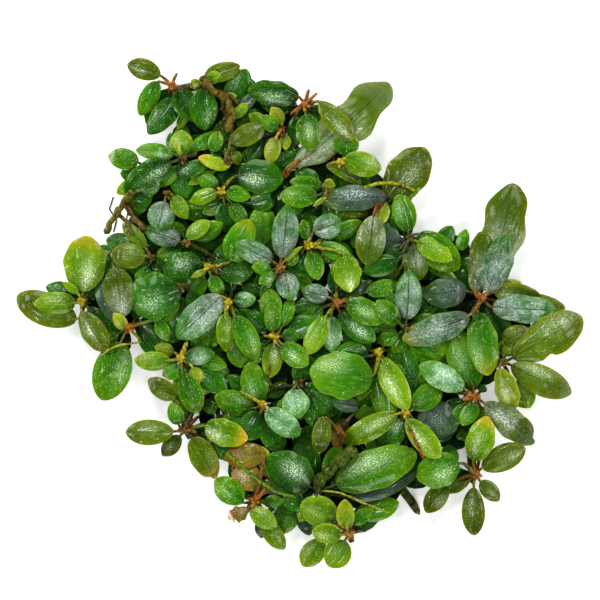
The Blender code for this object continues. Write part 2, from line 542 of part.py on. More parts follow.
def leaf_sections(index, stem, leaf):
    """A leaf's sections at the heights that it would like, rising in an arch over their line."""
    end = max(canopy(leaf.tip) - STOREY_DROP[leaf.storey], LEAST_HEIGHT)
    if leaf.shoot:
        sections, arch = shoot_sections(stem, leaf), 0.0
    else:
        sections, arch = blade_sections(stem, leaf, MOST_SWAY * math.sin(index * GOLDEN_ANGLE)), ARCH
        hidden = max((TRUE_ASPECT * 2 * leaf.half) ** 2 - leaf.length ** 2, 0.0)
        end += min(TIP_LIFT * math.sqrt(hidden), MOST_TIP_LIFT)
    face_across(sections)
    gone = [0.0]
    for before, section in zip(sections, sections[1:]):
        gone.append(gone[-1] + (section.place - before.place).length)
    start = stem.start(leaf.storey)
    for section, way in zip(sections, gone):
        share = way / gone[-1]
        section.nominal = start + (end - start) * share + arch * gone[-1] * 4 * share * (1 - share)
        section.height = section.nominal
    return sections


def settle(pile, owner, stem, sections):
    """Lift a leaf's sections until it clears all that lies below, and lay it on the pile."""
    for one, other in zip(sections, sections[1:]):
        x, y, _, _, underside = strip(one, other)
        clear = float((pile.under(owner, x, y, stem) + GAP - underside).max())
        one.needed = max(one.needed, clear)
        other.needed = clear
    for section in sections:
        section.height = max(section.height, section.needed)
    for _ in range(SMOOTHINGS):
        for before, section, after in zip(sections, sections[1:], sections[2:]):
            section.height = max(section.height, (before.height + after.height) / 2)
    outward = sections[0].place - stem.axis(sections[0].nominal)
    sections[0].place = stem.axis(sections[0].height) + outward
    for one, other in zip(sections, sections[1:]):
        x, y, height, top, _ = strip(one, other)
        pile.lay(owner, x, y, height + top)


def understory(name):
    """A leaf low on a stem, hardly seen from above, that grows where other crowns leave room."""
    crown = Vector(ROSETTES[name][0])
    others = [Vector(pixel) for other, (pixel, _) in ROSETTES.items() if other != name]

    def ahead(heading, way):
        return crown + Vector((math.cos(heading), math.sin(heading))) * way

    def room(heading):
        spots = [ahead(heading, UNDER_TIP * share) for share in UNDER_SHARES]
        return min((spot - other).length for other in others for spot in spots)

    middle = Vector(ORIGIN_PX)
    reach = max(INNER_REACH, (crown - middle).length - UNDER_WIDTH / 2)
    headings = [k * math.tau / UNDER_HEADINGS for k in range(UNDER_HEADINGS)]
    inside = [heading for heading in headings if (ahead(heading, UNDER_TIP) - middle).length < reach]
    best = max(inside, key=room)
    return (*ahead(best, UNDER_BASE), *ahead(best, UNDER_TIP), UNDER_WIDTH, DEEP, UNDER)


def skins(sections):
    """The sections of each closed skin that a leaf is made of.

    A leaf whose blade turns sharply off its petiole is two, so that neither folds into itself.
    """
    inside, base, *blade = sections
    petiole = base.place - inside.place
    turn = petiole.angle(blade[-1].place - base.place, 0.0) if blade else 0.0
    if base.fans or base.shoot or not base.half or turn < SHARP_TURN:
        return [sections]
    onward = petiole.normalized() * base.half
    stalk = [replace(inside), replace(base), replace(base, place=base.place + onward, half=0.0)]
    face_across(stalk)
    within = replace(base, place=base.place - onward / 2, height=base.height - base.thick / 2, half=0.0)
    return [stalk, [within, *blade]]


def disc(centre, radius):
    """Points over a round spot of ground."""
    steps = np.arange(-radius, radius + SAMPLE / 2, SAMPLE)
    x, y = np.meshgrid(steps, steps)
    inside = np.hypot(x, y) <= radius
    return centre.x + x[inside], centre.y + y[inside]


def creep(stops):
    """A rhizome's line over the ground, through the feet of its rosettes."""
    feet = [Stem(stop).foot if isinstance(stop, str) else place(stop) for stop in stops]
    first = feet[0] + (feet[0] - feet[1]).normalized() * RHIZOME_OVERHANG
    last = feet[-1] + (feet[-1] - feet[-2]).normalized() * RHIZOME_OVERHANG
    spots = [first, *feet, last]
    line = [first]
    for one, other in zip(spots, spots[1:]):
        pieces = max(1, round((other - one).length / RHIZOME_STEP))
        line += [one.lerp(other, (k + 1) / pieces) for k in range(pieces)]
    return line


def hexagon(spot, across, radius, height, rise):
    """Six corners around a spot, in the plane of a level direction and a second one."""
    corners = []
    for k in range(6):
        side, up = radius * math.cos(k * math.pi / 3), radius * math.sin(k * math.pi / 3)
        corners.append(Vector((*(spot + across * side), height)) + rise * up)
    return corners


def rhizome_rings(line):
    """Six-sided rings along a rhizome, flat underneath where it was cut from the ground."""
    rings = []
    for k, spot in enumerate(line):
        before, after = line[max(k - 1, 0)], line[min(k + 1, len(line) - 1)]
        along = (after - before).normalized()
        radius = RHIZOME_RADIUS * (RHIZOME_TAPER if k in (0, len(line) - 1) else 1.0)
        middle = radius * math.cos(math.pi / 6)
        rings.append(hexagon(spot, Vector((along.y, -along.x)), radius, middle, Vector((0, 0, 1))))
    return rings


def stem_rings(stem, top):
    """Six-sided rings of a stem, from its foot to its crown."""
    shoulder = top - 2 * CROWN_RADIUS
    sizes = ((STEM_FOOT, STEM_RADIUS), (shoulder, CROWN_RADIUS), (top, CROWN_TAPER * CROWN_RADIUS))
    return [hexagon(stem.axis(height), Vector((1, 0)), radius, height, Vector((0, 1, 0)))
            for height, radius in sizes]


def material(name, tones):
    """A plain glossy finish in the mean colour of a piece's tones."""
    made = bpy.data.materials.new(name)
    made.use_nodes = True
    shader = made.node_tree.nodes["Principled BSDF"]
    mean = [sum(COLOURS[tone][channel] for tone in tones) / len(tones) for channel in range(3)]
    shader.inputs["Base Color"].default_value = (*mean, 1.0)
    shader.inputs["Roughness"].default_value = WET_ROUGHNESS
    shader.inputs["Metallic"].default_value = 0.0
    made.diffuse_color = (*mean, 1.0)
    return made


def outward_halves(one, after_one, after_other, other, middle):
    """Split a four-cornered face along the diagonal that bulges further from the middle."""
    first = (one.co + after_other.co) / 2 - middle
    second = (after_one.co + other.co) / 2 - middle
    if first.length > second.length:
        return (one, after_one, after_other), (one, after_other, other)
    return (one, after_one, other), (after_one, after_other, other)


def skin(name, rings, collection):
    """A closed object lofted over rings of corners. A ring of one corner is a pointed end."""
    bm = bmesh.new()
    loops = [[bm.verts.new(corner) for corner in ring] for ring in rings]
    for one, other in zip(loops, loops[1:]):
        count = max(len(one), len(other))
        middle = sum((corner.co for corner in [*one, *other]), Vector()) / (len(one) + len(other))
        for k in range(count):
            after = (k + 1) % count
            if len(one) == 1:
                bm.faces.new((one[0], other[after], other[k]))
            elif len(other) == 1:
                bm.faces.new((one[k], one[after], other[0]))
            else:
                for half in outward_halves(one[k], one[after], other[after], other[k], middle):
                    bm.faces.new(half)
    for end in (loops[0], loops[-1]):
        if len(end) > 1:
            bm.faces.new(end)
    bmesh.ops.recalc_face_normals(bm, faces=bm.faces)
    mesh = bpy.data.meshes.new(name)
    bm.to_mesh(mesh)
    bm.free()
    made = bpy.data.objects.new(name, mesh)
    collection.objects.link(made)
    return made


def new_collection(name, parent):
    made = bpy.data.collections.new(name)
    parent.children.link(made)
    return made


def ground_pile(stems):
    """A pile that holds the rhizomes, in the layer after the rosettes', and every stem."""
    pile = Pile(len(stems) + 1)
    for stops in RHIZOMES.values():
        line = creep(stops)
        for one, other in zip(line, line[1:]):
            for share in np.linspace(0, 1, math.ceil((other - one).length / RHIZOME_RADIUS) + 1):
                x, y = disc(one.lerp(other, share), RHIZOME_RADIUS)
                pile.lay(len(stems), x, y, RHIZOME_TOP)
    for owner, stem in enumerate(stems.values()):
        for height in np.arange(STEM_FOOT, stem.top + CROWN_RADIUS, CROWN_RADIUS):
            x, y = disc(stem.axis(height), CROWN_RADIUS)
            pile.lay(owner, x, y, min(height, stem.top))
    return pile


def lay_out():
    """Settle every leaf on the pile, lowest storey first, and return the sections by rosette."""
    stems = {name: Stem(name) for name in ROSETTES}
    pile = ground_pile(stems)
    laid = {name: [] for name in ROSETTES}
    for storey in (UNDER, LOW, MIDDLE, TOP):
        for owner, (name, (_, leaves)) in enumerate(ROSETTES.items()):
            for index, line in enumerate([*leaves, understory(name)]):
                leaf = Leaf(*line)
                if leaf.storey == storey:
                    sections = leaf_sections(index + owner, stems[name], leaf)
                    settle(pile, owner, stems[name], sections)
                    laid[name].append(sections)
    return stems, laid


def make_rosette(name, stem, laid, clump, cutters):
    """A stem with its crown, and its leaves fused to it."""
    top = max(stem.top, max(sections[0].height for sections in laid) + CROWN_OVER_LEAF)
    rosette = skin(f"rosette_{name}", stem_rings(stem, top), clump)
    rosette.data.materials.append(material(f"rosette_{name}", [leaf[5] for leaf in ROSETTES[name][1]]))
    leaves = new_collection(f"leaves_{name}", cutters)
    for rings in [rings for sections in laid for rings in skins(sections)]:
        leaf = skin(f"leaf_{name}", [section.corners() for section in rings], leaves)
        leaf.hide_render = True
        leaf.display_type = "WIRE"
    fuse = rosette.modifiers.new("leaves", "BOOLEAN")
    fuse.operation = "UNION"
    fuse.operand_type = "COLLECTION"
    fuse.collection = leaves


def main():
    for leftover in list(bpy.data.objects):
        bpy.data.objects.remove(leftover)
    clump = new_collection("bucephalandra", bpy.context.scene.collection)
    cutters = new_collection("cutters", bpy.context.scene.collection)

    for name, stops in RHIZOMES.items():
        rhizome = skin(f"rhizome_{name}", rhizome_rings(creep(stops)), clump)
        rhizome.data.materials.append(material(f"rhizome_{name}", [STEM]))

    stems, laid = lay_out()
    for name, stem in stems.items():
        make_rosette(name, stem, laid[name], clump, cutters)


main()
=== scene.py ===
# %% [markdown]
# # A clump of bucephalandra, seen from above
#
# Bucephalandra is a small aquarium plant. Creeping rhizomes carry short stems, and each stem
# carries a rosette of glossy oval leaves. In a dense clump the rosettes overlap like tiles, so
# that hardly anything but leaves is seen from above.
#
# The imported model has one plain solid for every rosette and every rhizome. This lesson dresses
# them: each solid is replaced by a finely shaped piece that lies in the same place. The solids
# could be refined directly, but a leaf has a few faces there, so it is easier to build fine
# leaves along the same lines and to hide the solids.

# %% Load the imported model
import math
from dataclasses import dataclass

import bmesh
import bpy
import numpy as np
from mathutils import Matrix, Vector


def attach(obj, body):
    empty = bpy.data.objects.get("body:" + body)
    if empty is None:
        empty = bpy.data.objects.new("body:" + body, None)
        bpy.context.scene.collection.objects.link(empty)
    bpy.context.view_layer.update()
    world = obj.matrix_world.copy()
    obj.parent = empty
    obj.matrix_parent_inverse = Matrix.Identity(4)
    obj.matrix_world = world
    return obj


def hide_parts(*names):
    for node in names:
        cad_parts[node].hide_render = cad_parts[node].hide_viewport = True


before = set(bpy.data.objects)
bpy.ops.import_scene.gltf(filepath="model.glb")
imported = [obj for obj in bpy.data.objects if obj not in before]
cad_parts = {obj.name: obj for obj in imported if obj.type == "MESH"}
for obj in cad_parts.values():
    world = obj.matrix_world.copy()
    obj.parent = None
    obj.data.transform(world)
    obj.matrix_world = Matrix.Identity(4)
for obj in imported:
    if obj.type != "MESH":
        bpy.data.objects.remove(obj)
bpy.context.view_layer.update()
MM = 0.001

# %% [markdown]
# ## Camera
#
# The photograph looks straight down with a long lens, so all leaves are seen without distortion.
# A lens of 300 mm at about 1.4 m shows a square of 168 mm, and with 600 pixels a side that makes
# 0.28 mm per pixel. The clump sits a little above the middle of the picture.

# %% Camera
PX = 0.28 * MM                     # plant shown by one pixel of the photograph
ORIGIN_PX = (300, 312)             # the pixel that is the origin
PICTURE_PX = 600
LENS, SENSOR = 300, 36
FOCUS_HEIGHT = 11 * MM             # the height that is shown at exactly that scale


def place(pixel):
    """The point of the ground that a pixel of the photograph shows."""
    return Vector(((pixel[0] - ORIGIN_PX[0]) * PX, (ORIGIN_PX[1] - pixel[1]) * PX))


picture_middle = place((PICTURE_PX / 2, PICTURE_PX / 2))
distance = PICTURE_PX * PX * LENS / SENSOR
bpy.ops.object.camera_add(location=(*picture_middle, FOCUS_HEIGHT + distance), rotation=(0, 0, 0))
camera = bpy.context.object
camera.name = "camera"
camera.data.lens = LENS
camera.data.sensor_width = SENSOR
camera.data.clip_end = 10
bpy.context.scene.camera = camera
print("camera at", tuple(round(v, 4) for v in camera.location))

# %% [markdown]
# ## Light and floor
#
# The photograph was lit softly on a white ground, and yet the wet leaves are dark and rich in
# colour. A wet leaf is a mirror, and seen from above it mirrors what hangs over it. So the large
# soft lights stand low round the clump, where no leaf mirrors them to the camera, and only a few
# small lights stand high: they put the short bright glints on the leaves. The floor glows a
# little, like a light table, so that it stays white under low lights.

# %% Light and floor
WORLD_STRENGTH = 0.02
FLOOR_HALF, FLOOR_ROUGHNESS = 1.5, 0.9
FLOOR_WHITE = (0.90, 0.90, 0.90, 1.0)
FLOOR_GLOW = 0.35                  # like a light table, it leaves only a faint shadow
LIGHTS = {                         # name: where it stands in metres, its side, its watts
    "soft_left": ((-0.95, 0.50, 0.62), 0.60, 10.0),
    "soft_right": ((1.00, 0.25, 0.62), 0.60, 7.0),
    "soft_front": ((0.10, -1.05, 0.62), 0.60, 6.2),
    "soft_back": ((-0.05, 1.05, 0.62), 0.60, 6.2),
    "glint_back": ((-0.16, 0.40, 1.05), 0.14, 1.7),
    "glint_left": ((-0.46, -0.10, 1.00), 0.12, 1.2),
    "glint_right": ((0.40, -0.26, 1.00), 0.12, 1.1),
}

for name, (spot, side, watts) in LIGHTS.items():
    facing = (-Vector(spot)).to_track_quat("-Z", "Y").to_euler()
    bpy.ops.object.light_add(type="AREA", location=spot, rotation=facing)
    light = bpy.context.object
    light.name = name
    light.data.shape = "DISK"
    light.data.size = side
    light.data.energy = watts

world = bpy.data.worlds.new("studio")
bpy.context.scene.world = world
world.use_nodes = True
sky = world.node_tree.nodes["Background"].inputs
sky["Color"].default_value = (1.0, 1.0, 1.0, 1.0)
sky["Strength"].default_value = WORLD_STRENGTH
bpy.context.scene.view_settings.view_transform = "Standard"
bpy.context.scene.view_settings.look = "Medium High Contrast"

bpy.ops.mesh.primitive_plane_add(size=2 * FLOOR_HALF)
floor = bpy.context.object
floor.name = "floor"
paper = bpy.data.materials.new("floor")
paper.use_nodes = True
for socket, value in (("Base Color", FLOOR_WHITE), ("Roughness", FLOOR_ROUGHNESS),
                      ("Emission Color", FLOOR_WHITE), ("Emission Strength", FLOOR_GLOW)):
    paper.node_tree.nodes["Principled BSDF"].inputs[socket].default_value = value
floor.data.materials.append(paper)
print("lights:", len(LIGHTS))

# %% [markdown]
# ## The leaves, as they were read from the photograph
#
# Each rosette has its crown's pixel and its leaves. A leaf has the pixels of its base and its
# tip, its width in pixels, its tone, its storey and, where it is bent sideways, its bow in pixels.
# A leaf without a storey is in the low one.
# A stem or a root in the list is a plain round shoot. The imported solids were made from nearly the
# same list, so most dressed leaves fall where the solids are.

# %% The rosettes
TOP, MIDDLE, LOW, UNDER, FLOOR = 3, 2, 1, 0, -1
DEEP, GREEN, FRESH, LIME, OLIVE = "deep", "green", "fresh", "lime", "olive"
SILVER, MINT, MIXED, SLATE, BROWN = "silver", "mint", "mixed", "slate", "brown"
# SHADE is a tone of painted shade: a near-black leaf that stands for the shadow deep in the clump
SHADE, STEM, ROOT = "shade", "stem", "root"
ROSETTES = {
    "top_left": ((172, 86), [
        (160, 75, 128, 64, 20, OLIVE, TOP), (157, 81, 140, 114, 18, GREEN, TOP),
        (176, 101, 149, 133, 23, DEEP, TOP), (178, 90, 196, 118, 24, DEEP, TOP),
        (178, 102, 192, 120, 14, GREEN), (186, 112, 178, 128, 10, FRESH),
        (172, 82, 165, 83, 6, STEM, TOP), (173, 80, 177, 72, 5, STEM, MIDDLE),
    ]),
    "top_bud": ((203, 80), [
        (205, 76, 239, 66, 18, OLIVE, TOP), (206, 80, 220, 75, 12, FRESH, TOP),
        (200, 82, 191, 86, 10, LIME, TOP), (204, 88, 205, 129, 26, DEEP, TOP),
        (203, 80, 212, 96, 8, STEM),
    ]),
    "top_mid": ((226, 112), [
        (230, 108, 246, 70, 24, DEEP, MIDDLE), (243, 110, 252, 80, 18, DEEP),
        (240, 112, 256, 93, 12, SLATE, MIDDLE), (232, 118, 247, 104, 11, FRESH, TOP),
        (222, 100, 236, 96, 9, FRESH, MIDDLE), (226, 112, 222, 103, 7, STEM, MIDDLE),
    ]),
    "upper_left_edge": ((147, 171), [
        (139, 163, 109, 156, 20, GREEN, TOP), (150, 176, 150, 196, 19, MINT, TOP),
        (138, 182, 118, 193, 14, FRESH), (140, 172, 122, 174, 16, DEEP),
    ]),
    "upper_left": ((182, 160), [
        (183, 155, 181, 131, 22, FRESH, MIDDLE), (177, 152, 170, 134, 14, DEEP),
        (181, 157, 177, 143, 5, LIME, TOP), (175, 155, 137, 150, 16, GREEN, TOP),
        (172, 163, 126, 192, 24, DEEP, TOP, 3), (178, 176, 209, 162, 15, DEEP, TOP),
        (187, 156, 197, 150, 8, LIME),
        (183, 170, 186, 197, 26, DEEP),
    ]),
    "upper_centre": ((228, 162), [
        (212, 150, 240, 136, 19, DEEP, MIDDLE), (212, 152, 219, 133, 14, GREEN, MIDDLE),
        (228, 168, 200, 158, 13, LIME, TOP), (233, 152, 238, 164, 12, FRESH, MIDDLE),
        (214, 172, 190, 184, 10, FRESH), (228, 160, 225, 148, 5, ROOT, MIDDLE),
        (227, 170, 224, 188, 16, DEEP),
    ]),
    "top_right": ((304, 106), [
        (299, 97, 249, 90, 24, DEEP, TOP), (293, 106, 262, 104, 18, DEEP),
        (319, 102, 352, 140, 21, OLIVE, TOP), (306, 115, 311, 150, 24, GREEN, TOP),
        (296, 116, 293, 148, 15, DEEP, MIDDLE), (304, 106, 290, 115, 8, STEM),
        (306, 100, 309, 89, 6, STEM, TOP), (310, 100, 318, 93, 5, STEM, TOP),
    ]),
    "top_inner": ((281, 131), [
        (282, 124, 272, 108, 13, LIME, TOP), (266, 122, 250, 115, 12, FRESH, MIDDLE),
        (277, 130, 262, 117, 14, GREEN, TOP), (284, 135, 286, 149, 11, LIME, TOP),
        (276, 138, 270, 163, 15, LIME, TOP), (272, 134, 260, 144, 12, SLATE, MIDDLE),
        (271, 165, 298, 156, 17, DEEP, MIDDLE),
        (270, 128, 238, 124, 20, DEEP),
    ]),
    "wavy": ((286, 174), [
        (293, 168, 389, 83, 39, MIXED, MIDDLE, -1), (284, 172, 298, 160, 5, BROWN, TOP),
    ]),
    "upper_right_small": ((340, 163), [
        (344, 156, 348, 133, 24, GREEN, MIDDLE), (344, 159, 380, 169, 23, FRESH, TOP),
        (326, 166, 360, 184, 14, OLIVE, MIDDLE, -4),
        (345, 168, 366, 196, 22, DEEP),
    ]),
    "upper_right": ((377, 207), [
        (387, 197, 425, 149, 39, OLIVE, MIDDLE), (385, 202, 379, 224, 13, LIME, TOP),
        (386, 197, 320, 201, 24, SLATE, TOP), (370, 212, 330, 209, 16, OLIVE),
        (373, 216, 366, 264, 28, MIXED, TOP),
    ]),
    "right_inner": ((408, 239), [
        (408, 232, 398, 196, 22, GREEN, TOP), (403, 234, 392, 206, 14, DEEP),
        (412, 244, 417, 280, 24, MIXED, MIDDLE), (417, 242, 450, 260, 20, FRESH, TOP),
        (418, 234, 458, 268, 30, GREEN, MIDDLE), (401, 242, 379, 240, 26, SLATE),
        (439, 246, 452, 227, 16, DEEP), (459, 250, 466, 230, 12, GREEN),
        (438, 268, 457, 286, 13, FRESH), (408, 239, 399, 252, 9, STEM, MIDDLE),
        (397, 261, 364, 271, 20, DEEP, MIDDLE), (399, 270, 380, 281, 11, OLIVE),
    ]),
    "right_tall": ((481, 298), [
        (474, 292, 480, 233, 28, MIXED, TOP, 4), (487, 292, 505, 236, 28, SILVER, TOP),
        (489, 290, 515, 184, 40, MIXED, MIDDLE, -1), (466, 291, 424, 296, 28, SLATE, MIDDLE),
        (477, 312, 487, 374, 29, GREEN, TOP), (492, 307, 556, 311, 26, SILVER, TOP),
        (494, 292, 541, 298, 19, OLIVE, MIDDLE), (500, 301, 566, 308, 21, OLIVE),
        (496, 288, 521, 283, 11, LIME), (468, 316, 403, 339, 27, SILVER, TOP),
        (481, 298, 470, 316, 8, STEM, MIDDLE),
        (488, 306, 506, 340, 24, DEEP),
    ]),
    "right_edge": ((503, 362), [
        (512, 358, 582, 318, 38, OLIVE, TOP), (511, 365, 571, 393, 28, OLIVE, TOP),
        (498, 368, 512, 411, 22, LIME, TOP), (514, 382, 530, 407, 25, FRESH, MIDDLE),
        (503, 355, 512, 342, 18, FRESH), (502, 340, 530, 331, 20, OLIVE),
    ]),
    "lower_right": ((473, 396), [
        (484, 403, 534, 443, 27, MIXED, TOP), (463, 388, 420, 365, 24, MINT, TOP),
        (473, 388, 454, 332, 33, GREEN, MIDDLE), (476, 404, 462, 424, 16, GREEN, MIDDLE),
        (484, 416, 458, 438, 20, DEEP), (480, 392, 484, 385, 10, DEEP),
        (473, 396, 461, 399, 8, STEM, TOP),
        (466, 402, 446, 420, 24, DEEP),
    ]),
    "bottom_right": ((476, 474), [
        (482, 468, 524, 448, 25, OLIVE, TOP), (474, 488, 475, 535, 22, OLIVE, TOP),
        (481, 482, 499, 501, 16, OLIVE, MIDDLE), (467, 482, 447, 490, 14, OLIVE),
        (473, 460, 486, 417, 26, FRESH, TOP), (448, 484, 427, 512, 20, OLIVE, MIDDLE),
        (458, 462, 418, 478, 33, GREEN, TOP), (476, 474, 462, 462, 7, STEM, MIDDLE),
        (477, 470, 480, 459, 6, STEM),
    ]),
    "low_right_inner": ((405, 413), [
        (406, 419, 439, 456, 22, FRESH, TOP), (396, 413, 343, 441, 22, FRESH, TOP),
        (411, 408, 440, 386, 23, GREEN, MIDDLE), (426, 402, 447, 440, 36, SLATE),
        (402, 419, 379, 446, 27, DEEP, MIDDLE), (410, 398, 396, 336, 28, DEEP),
        (408, 424, 424, 460, 6, STEM), (448, 468, 449, 446, 19, DEEP),
        (396, 404, 352, 388, 30, DEEP),
    ]),
    "centre_right": ((378, 352), [
        (381, 358, 407, 408, 24, FRESH, TOP), (372, 376, 311, 370, 44, GREEN, TOP),
        (384, 345, 388, 320, 18, GREEN), (380, 364, 388, 419, 28, GREEN, MIDDLE),
        (378, 352, 374, 350, 7, STEM, TOP),
        (370, 350, 344, 336, 22, DEEP),
    ]),
    "centre": ((336, 303), [
        (326, 316, 307, 353, 20, FRESH, TOP), (331, 316, 332, 351, 20, MINT, MIDDLE),
        (340, 312, 374, 340, 22, DEEP, TOP), (346, 301, 384, 320, 23, GREEN, TOP),
        (337, 294, 332, 272, 13, DEEP), (355, 297, 371, 281, 12, SLATE),
        (328, 297, 303, 291, 18, SILVER, TOP), (337, 280, 334, 262, 9, GREEN, MIDDLE),
        (326, 306, 292, 309, 16, DEEP), (366, 292, 397, 284, 16, GREEN),
        (336, 303, 345, 300, 6, STEM, TOP),
    ]),
    "right_middle": ((404, 327), [
        (406, 319, 408, 272, 25, SILVER, MIDDLE), (399, 323, 377, 301, 18, GREEN, TOP),
        (411, 330, 440, 345, 20, DEEP), (404, 334, 394, 352, 18, GREEN),
        (411, 335, 446, 362, 30, GREEN), (412, 320, 438, 286, 24, DEEP),
    ]),
    "centre_upper": ((308, 246), [
        (308, 240, 303, 221, 13, GREEN, TOP), (314, 232, 341, 223, 24, SILVER, TOP),
        (320, 246, 350, 258, 16, GREEN, TOP), (316, 252, 344, 266, 9, DEEP),
        (311, 252, 318, 279, 18, GREEN, TOP), (345, 256, 350, 291, 26, FRESH, TOP),
        (334, 238, 360, 222, 16, GREEN), (308, 246, 321, 243, 5, ROOT, TOP),
    ]),
    "centre_left": ((280, 268), [
        (272, 261, 236, 243, 21, SILVER, TOP), (271, 270, 253, 267, 12, GREEN, TOP),
        (275, 274, 260, 283, 12, GREEN, TOP), (286, 265, 297, 254, 12, GREEN, MIDDLE),
        (283, 262, 302, 247, 5, LIME, TOP), (281, 258, 287, 207, 25, SILVER, TOP),
        (285, 273, 291, 299, 22, SILVER, TOP), (262, 246, 263, 206, 26, GREEN),
        (262, 292, 243, 287, 13, DEEP),
        (287, 266, 316, 276, 22, DEEP),
    ]),
    "left_inner": ((228, 303), [
        (234, 300, 255, 299, 15, MINT, TOP), (222, 296, 179, 337, 30, SILVER, TOP),
        (226, 314, 226, 350, 17, FRESH, TOP), (236, 316, 256, 358, 22, GREEN, TOP),
        (240, 340, 241, 366, 24, GREEN, MIDDLE), (228, 303, 228, 316, 4, ROOT, TOP),
    ]),
    "left_upper": ((188, 243), [
        (180, 242, 146, 230, 21, SILVER, TOP), (187, 238, 209, 222, 15, FRESH, TOP),
        (196, 240, 222, 224, 17, GREEN, MIDDLE), (184, 236, 172, 223, 13, GREEN, MIDDLE),
        (188, 243, 216, 258, 8, STEM, MIDDLE),
    ]),
    "left_mid": ((208, 267), [
        (202, 263, 165, 272, 30, DEEP, MIDDLE), (206, 270, 193, 277, 6, LIME, TOP),
        (214, 262, 229, 272, 13, GREEN), (208, 267, 243, 285, 8, STEM),
        (232, 261, 250, 221, 28, GREEN, MIDDLE),
        (218, 268, 252, 272, 26, DEEP),
    ]),
    "upper_inner": ((222, 192), [
        (217, 192, 192, 202, 14, FRESH, TOP), (219, 188, 199, 178, 15, GREEN, MIDDLE),
        (227, 191, 250, 197, 15, GREEN, MIDDLE), (225, 202, 204, 213, 14, GREEN),
        (238, 176, 282, 180, 32, DEEP, TOP),
        (251, 204, 276, 197, 20, DEEP), (222, 192, 214, 186, 6, STEM),
        (224, 202, 230, 232, 20, DEEP),
    ]),
    "upper_middle": ((325, 191), [
        (317, 196, 281, 196, 21, GREEN, TOP), (322, 186, 291, 182, 15, GREEN, MIDDLE),
        (323, 184, 334, 186, 12, LIME), (322, 193, 312, 190, 9, SLATE),
        (325, 198, 314, 206, 5, LIME, TOP),
        (318, 184, 296, 172, 18, DEEP),
    ]),
    "upper_left_low": ((168, 194), [
        (165, 202, 158, 230, 26, SILVER, TOP), (174, 196, 187, 218, 15, FRESH, TOP),
    ]),
    "left_edge": ((82, 302), [
        (76, 320, 17, 296, 31, OLIVE, MIDDLE), (75, 303, 35, 304, 21, FRESH, TOP),
        (79, 295, 46, 287, 18, DEEP), (83, 292, 87, 237, 39, FRESH, TOP),
        (78, 293, 64, 283, 8, FRESH, TOP), (82, 312, 107, 350, 23, OLIVE, TOP),
        (88, 308, 110, 330, 14, DEEP),
    ]),
    "left": ((130, 327), [
        (124, 317, 116, 268, 29, MIXED, TOP), (126, 329, 115, 314, 12, LIME, TOP),
        (121, 342, 102, 399, 36, GREEN, MIDDLE), (120, 322, 99, 280, 22, SLATE),
        (141, 324, 162, 356, 25, DEEP), (158, 320, 168, 340, 13, GREEN, MIDDLE),
        (133, 332, 142, 341, 5, ROOT, TOP), (142, 341, 97, 359, 4, ROOT, TOP, 5),
    ]),
    "left_shaded": ((152, 259), [
        (142, 250, 107, 240, 20, DEEP), (146, 257, 112, 255, 24, OLIVE, MIDDLE),
        (150, 264, 130, 268, 22, DEEP),     ]),
    "left_centre": ((183, 286), [
        (180, 290, 131, 304, 44, DEEP, MIDDLE), (180, 297, 184, 312, 15, GREEN),
        (178, 296, 172, 342, 28, DEEP),
    ]),
    "lower_left": ((181, 358), [
        (171, 360, 136, 360, 18, FRESH, TOP), (180, 366, 164, 375, 17, GREEN, MIDDLE),
        (186, 359, 214, 353, 17, MINT, TOP), (193, 367, 199, 382, 14, LIME, MIDDLE),
        (183, 373, 197, 412, 23, GREEN, TOP), (179, 376, 183, 413, 20, GREEN),
        (174, 352, 156, 347, 13, LIME), (193, 348, 208, 334, 18, GREEN),
        (216, 366, 204, 394, 14, LIME), (208, 368, 230, 376, 15, DEEP),
        (181, 358, 188, 341, 8, STEM, TOP),
        (192, 366, 226, 392, 22, DEEP),
    ]),
    "bottom_left": ((184, 430), [
        (174, 431, 127, 432, 24, OLIVE, TOP), (179, 424, 172, 403, 15, GREEN, MIDDLE),
        (180, 436, 163, 455, 16, OLIVE, MIDDLE), (193, 437, 215, 477, 25, OLIVE, TOP),
        (176, 398, 149, 380, 19, OLIVE), (206, 425, 247, 438, 25, FRESH, TOP),
        (205, 400, 214, 413, 13, GREEN), (184, 430, 200, 415, 6, STEM, MIDDLE),
        (190, 430, 198, 432, 6, STEM, TOP),
        (200, 436, 250, 456, 26, DEEP),
    ]),
    "lower_centre": ((262, 403), [
        (257, 400, 250, 363, 26, GREEN, TOP), (255, 408, 216, 396, 23, GREEN, MIDDLE),
        (266, 410, 299, 434, 23, MINT, TOP), (261, 412, 245, 438, 25, DEEP, MIDDLE),
        (269, 405, 289, 412, 14, DEEP), (262, 403, 240, 390, 6, ROOT, TOP),
        (264, 414, 280, 452, 24, DEEP),
    ]),
    "middle_gap": ((299, 384), [
        (293, 389, 300, 416, 26, MINT, MIDDLE), (298, 383, 298, 361, 13, GREEN),
        (305, 386, 326, 396, 18, GREEN), (299, 384, 271, 389, 6, STEM),
        (306, 392, 336, 412, 26, DEEP),
    ]),
    "centre_low": ((275, 337), [
        (273, 331, 271, 303, 16, GREEN, TOP), (274, 343, 270, 376, 19, FRESH, TOP),
        (282, 344, 307, 364, 21, GREEN, TOP), (282, 336, 298, 336, 15, DEEP, MIDDLE),
        (271, 322, 270, 290, 21, GREEN), (275, 337, 263, 335, 5, STEM, TOP),
        (270, 330, 248, 314, 18, DEEP), (284, 333, 316, 322, 22, DEEP),
    ]),
    "lower_brown": ((338, 430), [
        (324, 416, 319, 452, 18, OLIVE, TOP), (358, 406, 333, 400, 15, SLATE, MIDDLE),
        (345, 418, 334, 445, 15, BROWN),
    ]),
    "bottom": ((255, 500), [
        (243, 502, 216, 480, 24, GREEN, TOP), (249, 508, 229, 518, 15, BROWN, TOP),
        (252, 507, 276, 526, 18, FRESH, TOP), (264, 520, 284, 549, 18, FRESH, MIDDLE),
        (264, 502, 283, 500, 12, GREEN, MIDDLE), (282, 503, 280, 534, 32, GREEN),
